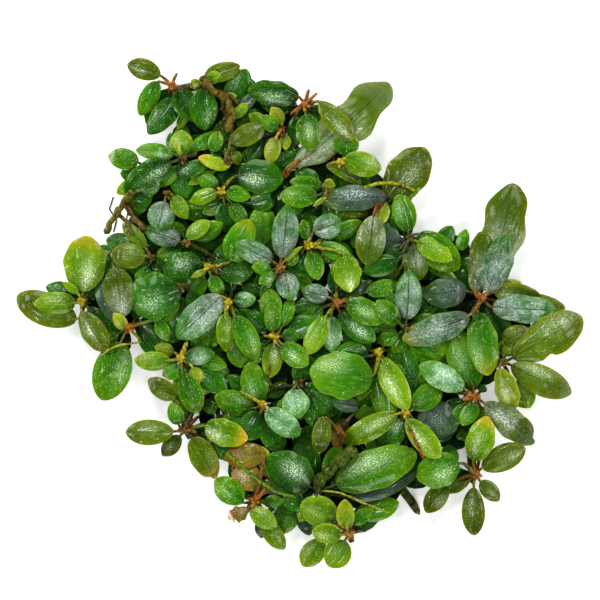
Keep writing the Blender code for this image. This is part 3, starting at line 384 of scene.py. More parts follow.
        (262, 480, 233, 472, 26, BROWN, MIDDLE), (270, 478, 262, 447, 14, LIME),
        (258, 484, 292, 487, 15, SLATE), (264, 516, 261, 538, 15, SLATE),
        (255, 500, 268, 486, 6, STEM, TOP), (258, 500, 247, 512, 10, BROWN),
    ]),
    "bottom_mid": ((349, 534), [
        (347, 528, 345, 500, 17, LIME, TOP), (337, 518, 302, 504, 29, FRESH, MIDDLE),
        (345, 541, 329, 566, 26, FRESH, TOP), (323, 540, 303, 566, 22, FRESH, MIDDLE),
        (342, 534, 313, 531, 19, FRESH, TOP), (304, 504, 309, 535, 20, SLATE),
        (358, 514, 398, 503, 22, GREEN), (349, 534, 359, 532, 5, STEM, TOP),
    ]),
    "lower_mid": ((318, 490), [
        (310, 486, 270, 455, 38, DEEP, TOP), (336, 484, 415, 453, 38, GREEN, TOP),
        (350, 497, 419, 466, 28, SLATE),
        (334, 491, 390, 513, 4, ROOT, TOP),
        (322, 490, 334, 491, 4, ROOT, MIDDLE), (318, 490, 334, 505, 8, STEM),
        (312, 478, 300, 440, 26, DEEP), (308, 494, 284, 504, 24, DEEP),
    ]),
}

# Rhizomes, each creeping past the feet of the rosettes that it carries, or over a pixel
RHIZOMES = {
    "top_left": ["top_left", "top_bud", "top_mid"],
    "upper_left": ["upper_left_edge", "upper_left", "upper_centre"],
    "left_upper": ["upper_inner", "left_upper"],
    "left_side": ["upper_left_low", "left_shaded"],
    "left_inner": ["left_mid", "left_inner"],
    "lower_left": ["left_centre", "lower_left", "bottom_left"],
    "left": ["left_edge", "left"],
    "top_right": ["top_right", "top_inner", "wavy"],
    "upper_middle": ["upper_right_small", "upper_middle", "centre_upper", "centre_left"],
    "right": ["upper_right", "right_inner", "right_tall"],
    "lower_right": ["right_edge", "lower_right", "bottom_right"],
    "middle": ["centre", ORIGIN_PX, "centre_low", "middle_gap"],
    "lower_centre": ["lower_centre", (268, 388)],
    "lower_right_inner": ["right_middle", "centre_right", "low_right_inner", (401, 484), (413, 504)],
    "bottom": ["lower_brown", "lower_mid", "bottom"],
    "bottom_mid": ["bottom_mid", (344, 517)],
}
print("rosettes:", len(ROSETTES), "leaves:", sum(len(leaves) for _, leaves in ROSETTES.values()))

# %% [markdown]
# ## Leaves between the leaves, and leaves with a shape of their own
#
# Between the large leaves more small ones show, which the imported solids leave out. They are
# listed in the same way. Most blades share one plan, but some are special: a few are wavy or
# notched, some are widest near the tip, and old ones turn golden there. Many carry a pale patch
# of painted sheen, a painted highlight where the wet skin catches the light.

# %% More leaves and special blades
MORE_LEAVES = {
    "top_mid": [(228, 120, 214, 136, 12, GREEN), (236, 122, 262, 112, 14, DEEP)],
    "upper_left": [(180, 166, 160, 186, 12, GREEN), (192, 148, 224, 134, 15, GREEN, MIDDLE)],
    "upper_centre": [(231, 142, 264, 126, 20, OLIVE, TOP), (240, 160, 262, 150, 14, GREEN)],
    "top_inner": [(284, 140, 300, 162, 14, GREEN), (262, 140, 248, 160, 16, DEEP, MIDDLE)],
    "upper_inner": [(212, 200, 186, 206, 12, GREEN), (232, 204, 246, 226, 15, GREEN)],
    "upper_middle": [(330, 196, 338, 222, 16, DEEP), (304, 204, 282, 214, 14, GREEN)],
    "centre_upper": [(302, 252, 294, 282, 18, DEEP), (324, 236, 306, 216, 14, DEEP)],
    "centre": [(332, 292, 338, 266, 15, DEEP), (322, 308, 300, 326, 15, GREEN),
               (346, 310, 382, 330, 16, DEEP), (348, 306, 366, 300, 12, GREEN)],
    "centre_left": [(276, 278, 262, 300, 15, GREEN), (292, 276, 312, 288, 14, GREEN)],
    "centre_low": [(282, 326, 292, 300, 14, GREEN), (266, 344, 252, 364, 14, GREEN),
                   (286, 350, 318, 372, 18, DEEP)],
    "left_inner": [(216, 306, 196, 330, 18, GREEN), (232, 292, 226, 272, 14, DEEP),
                   (236, 310, 262, 326, 16, GREEN), (220, 318, 206, 350, 18, GREEN)],
    "left_mid": [(204, 276, 192, 300, 16, GREEN), (212, 276, 222, 296, 14, GREEN)],
    "left_upper": [(182, 248, 158, 256, 15, GREEN), (194, 250, 200, 276, 16, DEEP)],
    "left_shaded": [(148, 268, 138, 288, 16, GREEN), (146, 248, 124, 224, 14, OLIVE)],
    "left": [(136, 318, 146, 290, 16, DEEP), (118, 334, 92, 346, 15, GREEN)],
    "left_centre": [(190, 292, 206, 318, 18, DEEP), (178, 300, 158, 322, 16, GREEN)],
    "lower_left": [(188, 366, 176, 396, 14, GREEN), (196, 356, 226, 366, 15, GREEN)],
    "lower_centre": [(254, 396, 228, 376, 16, DEEP), (268, 396, 286, 384, 13, GREEN),
                     (250, 414, 222, 424, 18, GREEN)],
    "middle_gap": [(306, 378, 322, 356, 14, DEEP), (292, 394, 276, 424, 16, GREEN),
                   (310, 396, 312, 424, 16, DEEP)],
    "centre_right": [(384, 358, 404, 374, 14, GREEN), (368, 356, 338, 350, 20, DEEP, MIDDLE),
                     (376, 372, 352, 400, 18, GREEN)],
    "low_right_inner": [(398, 420, 366, 452, 18, GREEN), (392, 408, 356, 416, 18, GREEN),
                        (412, 418, 418, 446, 16, DEEP), (416, 400, 424, 372, 18, GREEN)],
    "right_middle": [(398, 334, 378, 342, 15, GREEN), (412, 324, 436, 318, 16, GREEN),
                     (400, 318, 388, 292, 14, DEEP)],
    "right_inner": [(404, 246, 384, 262, 15, DEEP), (424, 252, 444, 276, 16, GREEN)],
    "upper_right": [(376, 214, 388, 240, 15, DEEP), (392, 200, 420, 182, 16, GREEN)],
    "lower_right": [(466, 388, 444, 376, 16, GREEN), (478, 406, 484, 420, 12, FRESH),
                    (468, 404, 450, 424, 14, GREEN)],
    "bottom": [(266, 452, 226, 457, 24, BROWN, MIDDLE), (258, 494, 276, 478, 10, OLIVE)],
    "bottom_mid": [(344, 526, 330, 508, 14, GREEN), (352, 524, 372, 510, 14, GREEN)],
    "lower_mid": [(326, 480, 340, 446, 18, GREEN), (330, 486, 366, 474, 16, DEEP),
                  (314, 496, 300, 520, 16, GREEN)],
}


@dataclass
class Look:
    """What sets one blade apart from the common plan."""
    fullest: float = 0.0           # where it is widest: above 1 nearer its tip; 0 is drawn
    waves: float = 0.0             # how wavy its outline is, per half width
    notch: tuple = None            # where its edge is notched: side, share of the length, depth
    # The pale patch is painted sheen, a painted highlight where the wet skin catches the light.
    painted_sheen: tuple = None            # its pale patch: side, share of the length, strength
    gold: float = 0.0              # how golden its tip is
    fold: float = 0.0              # how steeply its halves rise from the midrib


LOOKS = {                          # by rosette and place in its list
    ("wavy", 0): Look(1.45, 0.17, painted_sheen=(0.3, 0.3, 0.5)),
    ("right_tall", 2): Look(1.35, 0.10, painted_sheen=(-0.2, 0.35, 0.6)),
    ("right_tall", 0): Look(1.05, 0.05, painted_sheen=(0.3, 0.35, 0.7)),
    ("right_tall", 1): Look(0.95, 0.04, painted_sheen=(0.0, 0.45, 0.5)),
    ("right_tall", 4): Look(1.05, 0.04, notch=(1, 0.10, 0.35), painted_sheen=(0.5, 0.7, 0.6), gold=0.3),
    ("right_tall", 5): Look(0.95, 0.05, painted_sheen=(0.2, 0.35, 0.3)),
    ("right_tall", 9): Look(1.0, 0.03, painted_sheen=(0.1, 0.6, 0.6), gold=0.25),
    ("right_edge", 0): Look(1.25, 0.03, notch=(1, 0.42, 0.22), painted_sheen=(-0.4, 0.72, 0.7)),
    ("right_edge", 1): Look(1.1, 0.0, painted_sheen=(-0.5, 0.35, 1.0)),
    ("right_edge", 2): Look(1.15, 0.05, painted_sheen=(0.2, 0.55, 1.0)),
    ("lower_right", 0): Look(1.15, 0.05, notch=(-1, 0.95, 0.5), painted_sheen=(0.1, 0.35, 0.9)),
    ("lower_right", 1): Look(1.0, 0.03, painted_sheen=(0.3, 0.5, 1.0)),
    ("bottom_right", 2): Look(painted_sheen=(0.0, 0.7, 1.0)),
    ("bottom_right", 4): Look(0.9, 0.03, gold=0.7),
    ("bottom_right", 6): Look(1.0, 0.04, painted_sheen=(-0.3, 0.45, 1.0)),
    ("low_right_inner", 0): Look(painted_sheen=(0.25, 0.45, 1.2), fold=0.25),
    ("low_right_inner", 1): Look(painted_sheen=(0.1, 0.35, 1.0)),
    ("low_right_inner", 3): Look(1.0, 0.03, painted_sheen=(0.0, 0.5, 0.6)),
    ("low_right_inner", 4): Look(painted_sheen=(0.0, 0.25, 1.3)),
    ("centre_right", 0): Look(painted_sheen=(0.3, 0.55, 1.3)),
    ("centre_right", 1): Look(1.0, 0.05, painted_sheen=(0.4, 0.72, 0.9)),
    ("centre", 1): Look(painted_sheen=(0.1, 0.7, 1.0)),
    ("centre", 2): Look(painted_sheen=(0.1, 0.6, 1.5)),
    ("centre", 3): Look(painted_sheen=(0.0, 0.5, 0.9)),
    ("centre_upper", 5): Look(0.9, 0.06, painted_sheen=(-0.1, 0.92, 1.6)),
    ("centre_low", 1): Look(painted_sheen=(-0.2, 0.35, 1.1)),
    ("centre_low", 2): Look(painted_sheen=(0.1, 0.5, 1.1)),
    ("left_mid", 0): Look(1.0, 0.04, painted_sheen=(0.3, 0.5, 1.2)),
    ("left_mid", 4): Look(0.8, 0.03, gold=0.3),
    ("left_inner", 1): Look(1.0, 0.03, painted_sheen=(-0.5, 0.5, 0.5)),
    ("left_edge", 3): Look(1.1, 0.03, painted_sheen=(0.2, 0.3, 1.3), gold=0.4),
    ("left_edge", 5): Look(1.1, 0.03, painted_sheen=(0.3, 0.4, 0.8)),
    ("left", 0): Look(1.1, 0.02, painted_sheen=(0.0, 0.15, 0.8)),
    ("left_centre", 0): Look(1.0, 0.06, painted_sheen=(-0.2, 0.6, 0.9)),
    ("lower_mid", 0): Look(0.85, 0.05, painted_sheen=(0.2, 0.45, 1.5)),
    ("lower_mid", 1): Look(1.0, 0.04, painted_sheen=(-0.4, 0.45, 1.2)),
    ("bottom_left", 2): Look(painted_sheen=(0.0, 0.6, 1.0)),
    ("bottom_left", 3): Look(1.0, 0.02, notch=(1, 0.96, 0.4), gold=0.5),
    ("bottom_left", 5): Look(0.9, 0.03, painted_sheen=(0.5, 0.2, 0.9), gold=1.0),
    ("bottom", 1): Look(1.3, 0.12, notch=(-1, 0.75, 0.8), gold=0.8),
    ("bottom", 6): Look(1.0, 0.06, painted_sheen=(0.1, 0.6, 1.5), gold=0.3),
    ("top_right", 0): Look(1.05, 0.05, notch=(-1, 0.93, 0.35), painted_sheen=(-0.3, 0.5, 1.2)),
    ("top_right", 2): Look(1.2, 0.03, painted_sheen=(0.1, 0.75, 1.0)),
    ("top_right", 3): Look(1.0, 0.03, painted_sheen=(0.0, 0.5, 1.1)),
    ("top_left", 2): Look(0.75, 0.03),
    ("upper_left", 4): Look(0.9, 0.03, painted_sheen=(-0.3, 0.35, 0.8)),
    ("upper_right", 0): Look(1.0, 0.03),
    ("upper_right", 2): Look(1.0, 0.05, painted_sheen=(0.3, 0.5, 1.0), gold=0.1),
    ("upper_inner", 4): Look(1.0, 0.03, painted_sheen=(0.2, 0.35, 1.2)),
    ("upper_centre", 2): Look(0.9, 0.0, gold=1.0),
}
print("more leaves:", sum(len(leaves) for leaves in MORE_LEAVES.values()), "special blades:", len(LOOKS))

# %% [markdown]
# ## How the leaves lie on each other
#
# In the real clump the leaves rest on one another, and no leaf passes through its neighbour. The
# heights could be set by hand, but with over two hundred leaves it is surer to let the script
# pile them up. The clump is laid storey by storey, from the ground to the top. A grid keeps how
# high everything reaches so far, and each new leaf is lifted until it clears what lies below it.
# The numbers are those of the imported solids. The leaves that the solids leave out lie in the same
# pile, so they are laid slim and nearly without a gap, and lift the others by a few millimetres.

# %% Sizes of the plant
CLUMP_HALF = (80 * MM, 72 * MM)    # half the clump's spread, across and along
RIM_HEIGHT = 4.5 * MM              # how high the leaves stand at the rim
CROWN_HEIGHT = 12 * MM             # how much higher they stand in the middle
STEM_RADIUS = 1.0 * MM
CROWN_RADIUS = 1.3 * MM
PETIOLE_RADIUS = 0.5 * MM
LEAF_THICKNESS = 0.5 * MM          # of the solids, at the midrib
RHIZOME_RADIUS = 1.35 * MM
GAP = 0.3 * MM                     # air between pieces that touch
STEM_LEAN = 0.25                   # how far a stem leans outward, per height
CROWN_DEPTH = 3.5 * MM             # how far the crowns sit below the top leaves
LEAST_STEM = 6.8 * MM              # no crown is lower
TRUE_ASPECT = 2.3                  # a blade's length over its width, seen square on
HIDDEN_EDGE = 1.08                 # a blade is this much wider than what shows of it
LEAN_FROM = 10 * MM                # stems nearer the origin than this lean less
STOREY_DROP = {TOP: 0.0, MIDDLE: 2.0 * MM, LOW: 4.2 * MM, UNDER: 7.5 * MM, FLOOR: 10.5 * MM}
PETIOLE_DROP = {TOP: 0.3 * MM, MIDDLE: 1.1 * MM, LOW: 2.3 * MM, UNDER: 4.5 * MM, FLOOR: 6.5 * MM}
RHIZOME_TOP = 2 * RHIZOME_RADIUS * math.cos(math.pi / 6)
STEM_FOOT = RHIZOME_TOP + GAP


def canopy(point):
    """How high the top leaves stand over a point of the ground."""
    spread = (point.x / CLUMP_HALF[0]) ** 2 + (point.y / CLUMP_HALF[1]) ** 2
    return RIM_HEIGHT + CROWN_HEIGHT * max(0.0, 1.0 - spread)


# %% Stems and leaves
class Stem:
    """A stem that leans outward from its foot to its crown."""

    def __init__(self, name):
        self.crown = place(ROSETTES[name][0])
        self.top = max(canopy(self.crown) - CROWN_DEPTH, LEAST_STEM)
        inward = -self.crown.normalized() * min(1.0, self.crown.length / LEAN_FROM)
        self.foot = self.crown + inward * STEM_LEAN * (self.top - STEM_FOOT)
        self.slope = (self.crown - self.foot) / (self.top - STEM_FOOT)

    def axis(self, height):
        """The middle of the stem, seen from above, at a height."""
        return self.foot + self.slope * (min(height, self.top) - STEM_FOOT)

    def start(self, storey):
        """The height at which the petioles of a storey start."""
        return max(self.top - PETIOLE_DROP[storey], STEM_FOOT + CROWN_RADIUS)


class Leaf:
    """A blade on its petiole, or a plain round shoot, as a line of a rosette's list gives it."""

    def __init__(self, base_x, base_y, tip_x, tip_y, width, tone, storey=LOW, bow=0):
        self.base, self.tip = place((base_x, base_y)), place((tip_x, tip_y))
        self.shoot = tone in (STEM, ROOT)
        self.half = width * PX / 2 * (1 if self.shoot else HIDDEN_EDGE)
        self.tone = tone
        self.storey = storey
        self.bow = bow * PX
        self.length = (self.tip - self.base).length

    def spot(self, share):
        """A point of the ground under its midrib, at a share of the way from base to tip."""
        blade = self.tip - self.base
        sideways = Vector((blade.y, -blade.x)).normalized()
        return self.base + blade * share + sideways * self.bow * 4 * share * (1 - share)


@dataclass
class Section:
    """A cross-section of a leaf or shoot, seen along its length."""
    place: Vector                  # of the midrib on the ground
    half: float = 0.0              # half width
    thick: float = 0.0             # thickness at the midrib
    sway: float = 0.0              # rise of the right edge per half width
    fans: bool = False             # belongs to the blade, not to the petiole
    height: float = 0.0            # of the midrib
    nominal: float = 0.0           # the height it would like
    needed: float = 0.0            # least height that clears what lies below
    across: Vector = None          # direction of the right edge


# %% The sections of a leaf
LONG_PETIOLE = 1.6 * MM            # a longer petiole has a section where its blade begins
PETIOLE_START = 0.9 * STEM_RADIUS  # how far behind the stem's middle a petiole starts
PETIOLE_FLARE = 1.4                # its width over its thickness where the blade begins
SHORT_BLADE, LONG_BLADE = 12 * MM, 19 * MM
SHORT_SHARES = (0.27, 0.74)        # where a short blade's sections are, along its length
MIDDLE_SHARES = (0.2, 0.52, 0.84)
LONG_SHARES = (0.12, 0.31, 0.5, 0.69, 0.88)
FULLNESS = 0.45                    # below 1 a blade stays broad further towards its ends
AIM_SHARE = 0.2                    # the share of the blade at which its petiole aims
SHOOT_START = 0.35 * STEM_RADIUS   # how far from the stem's middle a shoot starts
SHOOT_TAPER = 0.8
SHOOT_DEPTH = 1.5                  # a shoot's depth over its half width
LONG_SHOOT = 6 * MM                # a longer shoot bends
LEAST_HEIGHT = 1.0 * MM            # no leaf hangs lower over the surface
ARCH = 0.09                        # how high a leaf arches, per length
TIP_LIFT = 0.3                     # how far a tip rises, per length that a steep blade hides
MOST_TIP_LIFT = 3 * MM
MOST_SWAY = 0.20                   # the steepest sideways lean of a blade
GOLDEN_ANGLE = math.radians(137.5)


def face_across(sections):
    """Point each section's right edge square to the line of the sections, seen from above."""
    for k, section in enumerate(sections):
        before, after = sections[max(k - 1, 0)], sections[min(k + 1, len(sections) - 1)]
        if section.fans and not before.fans:
            before = section
        along = (after.place - before.place).normalized()
        section.across = Vector((along.y, -along.x))


def blade_sections(stem, leaf, sway):
    """Sections of a blade and its petiole, from a point inside the stem to a point at the tip."""
    shares = SHORT_SHARES
    if leaf.length > LONG_BLADE:
        shares = LONG_SHARES
    elif leaf.length > SHORT_BLADE:
        shares = MIDDLE_SHARES
    root = stem.axis(stem.start(leaf.storey))
    aim = (leaf.base.lerp(leaf.tip, AIM_SHARE) - root).normalized()
    sections = [Section(root - aim * PETIOLE_START)]
    if (leaf.base - root).length > LONG_PETIOLE:
        sections.append(Section(leaf.base, PETIOLE_RADIUS * PETIOLE_FLARE, PETIOLE_RADIUS))
    for share in shares:
        half = leaf.half * math.sin(math.pi * share) ** FULLNESS
        sections.append(Section(leaf.spot(share), half, LEAF_THICKNESS, sway, fans=True))
    sections.append(Section(leaf.tip, fans=True))
    return sections


def shoot_sections(stem, leaf):
    """Sections of a round shoot, from inside the stem to its blunt end."""
    root = stem.axis(stem.start(leaf.storey))
    aim = (leaf.base.lerp(leaf.tip, AIM_SHARE) - root).normalized()
    bends = leaf.bow or leaf.length > LONG_SHOOT
    sections = [Section(root + aim * SHOOT_START, leaf.half, leaf.half * SHOOT_DEPTH)]
    for share in (0.0, 0.5, 1.0) if bends else (0.0, 1.0):
        half = leaf.half * (SHOOT_TAPER if share == 1 else 1)
        sections.append(Section(leaf.spot(share), half, half * SHOOT_DEPTH))
    if (leaf.base - root).length < CROWN_RADIUS:
        del sections[1]
    return sections


def leaf_sections(index, stem, leaf):
    """A leaf's sections at the heights that it would like, rising in an arch over their line."""
    end = max(canopy(leaf.tip) - STOREY_DROP[leaf.storey], LEAST_HEIGHT)
    if leaf.shoot:
        sections, arch = shoot_sections(stem, leaf), 0.0
    else:
        sections, arch = blade_sections(stem, leaf, MOST_SWAY * math.sin(index * GOLDEN_ANGLE)), ARCH
        hidden = max((TRUE_ASPECT * 2 * leaf.half) ** 2 - leaf.length ** 2, 0.0)
        end += min(TIP_LIFT * math.sqrt(hidden), MOST_TIP_LIFT)
    face_across(sections)
    gone = [0.0]
    for before, section in zip(sections, sections[1:]):
        gone.append(gone[-1] + (section.place - before.place).length)
    start = stem.start(leaf.storey)
    for section, way in zip(sections, gone):
        share = way / gone[-1]
        section.nominal = start + (end - start) * share + arch * gone[-1] * 4 * share * (1 - share)
        section.height = section.nominal
    return sections


# %% The pile
CELL = 0.4 * MM                    # the pile's height is kept for squares of this side
SAMPLE = 0.3 * MM                  # distance between the points of a leaf laid on the pile
PILE_REACH = 1.4                   # half of the grid, over half of the clump
SMOOTHINGS = 3                     # times that a leaf's line is raised towards a smooth one


class Pile:
    """How high everything laid so far reaches over each cell, kept apart for each rosette."""

    def __init__(self, owners):
        columns, rows = [int(PILE_REACH * half / CELL) for half in CLUMP_HALF]
        self.middle = (rows, columns)
        self.heights = np.zeros((owners, 2 * rows, 2 * columns), dtype=np.float32)

    def cells(self, x, y):
        return (y / CELL).astype(int) + self.middle[0], (x / CELL).astype(int) + self.middle[1]

    def lay(self, owner, x, y, top):
        rows, columns = self.cells(x, y)
        for down in (-1, 0, 1):
            for right in (-1, 0, 1):
                np.maximum.at(self.heights[owner], (rows + down, columns + right), top)

    def under(self, owner, x, y, stem):
        """The height below each point. Leaves of one rosette may meet close to their stem."""
        rows, columns = self.cells(x, y)
        found = self.heights[:, rows, columns]
        near = np.hypot(x - stem.crown.x, y - stem.crown.y) < CROWN_RADIUS + CELL
        found[owner][near] = 0.0
        return found.max(axis=0)


def strip(one, other):
    """Points over the skin between two sections: midrib's height, and rise of top and keel."""
    length = (other.place - one.place).length
    along_steps = max(2, math.ceil(length / SAMPLE))
    across_steps = max(3, math.ceil(2 * max(one.half, other.half) / SAMPLE))
    along, across = np.meshgrid(np.linspace(0, 1, along_steps + 1), np.linspace(-1, 1, across_steps + 1))

    def between(a, b):
        return a + (b - a) * along

    side = between(one.half, other.half) * across
    thick = between(one.thick, other.thick) * (1 - abs(across))
    x = between(one.place.x, other.place.x) + between(one.across.x, other.across.x) * side
    y = between(one.place.y, other.place.y) + between(one.across.y, other.across.y) * side
    rise = between(one.sway, other.sway) * side
    return x, y, between(one.height, other.height), rise, rise - thick


def settle(pile, owner, stem, sections, gap):
    """Lift a leaf's sections until it clears all that lies below, and lay it on the pile."""
    for one, other in zip(sections, sections[1:]):
        x, y, _, _, underside = strip(one, other)
        clear = float((pile.under(owner, x, y, stem) + gap - underside).max())
        one.needed = max(one.needed, clear)
        other.needed = clear
    for section in sections:
        section.height = max(section.height, section.needed)
    for _ in range(SMOOTHINGS):
        for before, section, after in zip(sections, sections[1:], sections[2:]):
            section.height = max(section.height, (before.height + after.height) / 2)
    outward = sections[0].place - stem.axis(sections[0].nominal)
    sections[0].place = stem.axis(sections[0].height) + outward
    for one, other in zip(sections, sections[1:]):
        x, y, height, top, _ = strip(one, other)
        pile.lay(owner, x, y, height + top)


# %% The ground under the leaves
RHIZOME_STEP = 14 * MM
RHIZOME_OVERHANG = 4 * MM          # how far a rhizome goes on past its last stem


def disc(centre, radius):
    """Points over a round spot of ground."""
    steps = np.arange(-radius, radius + SAMPLE / 2, SAMPLE)
    x, y = np.meshgrid(steps, steps)
    inside = np.hypot(x, y) <= radius
    return centre.x + x[inside], centre.y + y[inside]


def creep(stops):
    """A rhizome's line over the ground, through the feet of its rosettes."""
    feet = [Stem(stop).foot if isinstance(stop, str) else place(stop) for stop in stops]
    first = feet[0] + (feet[0] - feet[1]).normalized() * RHIZOME_OVERHANG
    last = feet[-1] + (feet[-1] - feet[-2]).normalized() * RHIZOME_OVERHANG
    spots = [first, *feet, last]
    line = [first]
    for one, other in zip(spots, spots[1:]):
        pieces = max(1, round((other - one).length / RHIZOME_STEP))
        line += [one.lerp(other, (k + 1) / pieces) for k in range(pieces)]
    return line


def ground_pile(stems):
    """A pile that holds the rhizomes, in the layer after the rosettes', and every stem."""
    pile = Pile(len(stems) + 1)
    for stops in RHIZOMES.values():
        line = creep(stops)
        for one, other in zip(line, line[1:]):
            for share in np.linspace(0, 1, math.ceil((other - one).length / RHIZOME_RADIUS) + 1):
                x, y = disc(one.lerp(other, share), RHIZOME_RADIUS)
                pile.lay(len(stems), x, y, RHIZOME_TOP)
    for owner, stem in enumerate(stems.values()):
        for height in np.arange(STEM_FOOT, stem.top + CROWN_RADIUS, CROWN_RADIUS):
            x, y = disc(stem.axis(height), CROWN_RADIUS)
            pile.lay(owner, x, y, min(height, stem.top))
    return pile


# %% Leaves low on the stems
UNDER_BASE, UNDER_TIP, UNDER_WIDTH = 5, 46, 24     # in pixels of the photograph
UNDER_HEADINGS = 24                # ways to grow that a leaf chooses from
UNDER_SHARES = (0.6, 1.0)          # where along the leaf its distance from crowns is measured
INNER_REACH = 150                  # the clump is closed up to here, so tips may point outward


def understory(name):
    """A leaf low on a stem, hardly seen from above, that grows where other crowns leave room."""
    crown = Vector(ROSETTES[name][0])
    others = [Vector(pixel) for other, (pixel, _) in ROSETTES.items() if other != name]

    def ahead(heading, way):
        return crown + Vector((math.cos(heading), math.sin(heading))) * way

    def room(heading):
        spots = [ahead(heading, UNDER_TIP * share) for share in UNDER_SHARES]
        return min((spot - other).length for other in others for spot in spots)

    middle = Vector(ORIGIN_PX)
    reach = max(INNER_REACH, (crown - middle).length - UNDER_WIDTH / 2)
    headings = [k * math.tau / UNDER_HEADINGS for k in range(UNDER_HEADINGS)]
    inside = [heading for heading in headings if (ahead(heading, UNDER_TIP) - middle).length < reach]
    best = max(inside, key=room)
    return (*ahead(best, UNDER_BASE), *ahead(best, UNDER_TIP), UNDER_WIDTH, DEEP, UNDER)


# %% [markdown]
# ## Leaves in the shade
#
# Between the leaves that the photograph shows, the clump is closed by more leaves down in the
# shade. They can't be read one by one, so the script grows them: it marks what the known leaves
# cover, seen from above, and puts a dark leaf of the nearest rosette over the largest hole, again
# and again until the clump is closed. Most of them take the tone SHADE, whose near-black colour is
# painted shade: it stands for the shadow deep between the leaves.

# %% Grow leaves in the shade
SPOT = 2                           # side of the cells in which cover is marked, in pixels
CLOSED_OUTLINE = [                 # the clump is closed inside this line, in pixels
    (176, 90), (192, 78), (222, 78), (262, 84), (290, 94), (300, 110), (322, 110), (345, 134),
    (352, 152), (372, 168), (392, 182), (410, 192), (412, 215), (420, 230), (450, 232), (480, 240),
    (488, 262), (498, 290), (520, 308), (545, 312), (520, 334), (500, 345), (498, 370), (490, 386),
    (478, 390), (476, 402), (468, 424), (466, 440), (460, 456), (456, 476), (440, 484), (418, 488),
    (404, 482), (394, 498), (372, 510), (352, 506), (346, 530), (334, 528), (318, 544), (304, 538),
    (298, 526), (284, 532), (268, 534), (258, 522), (254, 508), (246, 494), (238, 484), (236, 468),
    (230, 452), (220, 436), (206, 426), (194, 414), (182, 410), (174, 402), (162, 384), (158, 370),
    (150, 358), (140, 348), (124, 346), (108, 336), (98, 320), (90, 308), (80, 296), (80, 278),
    (90, 262), (98, 244), (104, 232), (114, 216), (126, 206), (132, 192), (128, 182), (134, 168),
    (138, 158), (152, 148), (168, 140), (170, 128), (164, 118), (172, 108),
]
HOLE = 8                           # half the side of the square in which a hole is measured
LEAST_HOLE = 0.06                  # the share of that square that is worth a leaf
SHADE_LEAF = (36, 21)              # its length and width in pixels
SHADE_BASE = 5                     # its least distance from the crown
SHADE_TURNS = [math.radians(turn) for turn in range(-75, 76, 15)]
SURE_COVER = 0.85                  # the share of a blade's width that surely covers
COVER_STEPS = (30, 21)             # points along and across a blade where its cover is marked
SHADE_SEED = 7
SHADE_SIZES = (0.8, 1.1)           # of a leaf in the shade, over SHADE_LEAF
OUTSIDE_COST = 6                   # a spot outside the clump weighs as much as so many inside
MOST_SHADE_LEAVES = 500
# SHADE is painted shade: the dark colour of a leaf deep in the clump
SHADE_TONES = (SHADE, SHADE, SHADE, DEEP)


def covered_spots(base_x, base_y, tip_x, tip_y, width):
    """The cells that a blade covers, seen from above."""
    steps_along, steps_across = COVER_STEPS
    share, across = np.meshgrid(np.linspace(0.02, 0.98, steps_along), np.linspace(-1, 1, steps_across))
    length = math.hypot(tip_x - base_x, tip_y - base_y)
    ahead = ((tip_x - base_x) / length, (tip_y - base_y) / length)
    side = across * width / 2 * SURE_COVER * np.sin(np.pi * share) ** FULLNESS
    columns = (base_x + ahead[0] * length * share - ahead[1] * side) / SPOT
    rows = (base_y + ahead[1] * length * share + ahead[0] * side) / SPOT
    last = PICTURE_PX // SPOT - 1
    return np.clip(rows, 0, last).astype(int), np.clip(columns, 0, last).astype(int)


def cells_inside(corners_px):
    """Mark the cells inside a closed line."""
    cells = PICTURE_PX // SPOT
    rows, columns = np.mgrid[0:cells, 0:cells] * SPOT
    inside = np.zeros((cells, cells), dtype=bool)
    for (x1, y1), (x2, y2) in zip(corners_px, corners_px[1:] + corners_px[:1]):
        if y1 != y2:
            crosses = (rows >= min(y1, y2)) & (rows < max(y1, y2))
            inside ^= crosses & (columns < x1 + (rows - y1) * (x2 - x1) / (y2 - y1))
    return inside


def box_sum(marked, half):
    """How many cells are marked in the square round each cell."""
    total = np.pad(marked.astype(np.int32), half + 1).cumsum(0).cumsum(1)
    side = 2 * half + 1
    return (total[side:, side:] - total[:-side, side:] - total[side:, :-side] + total[:-side, :-side])[
        :marked.shape[0], :marked.shape[1]]


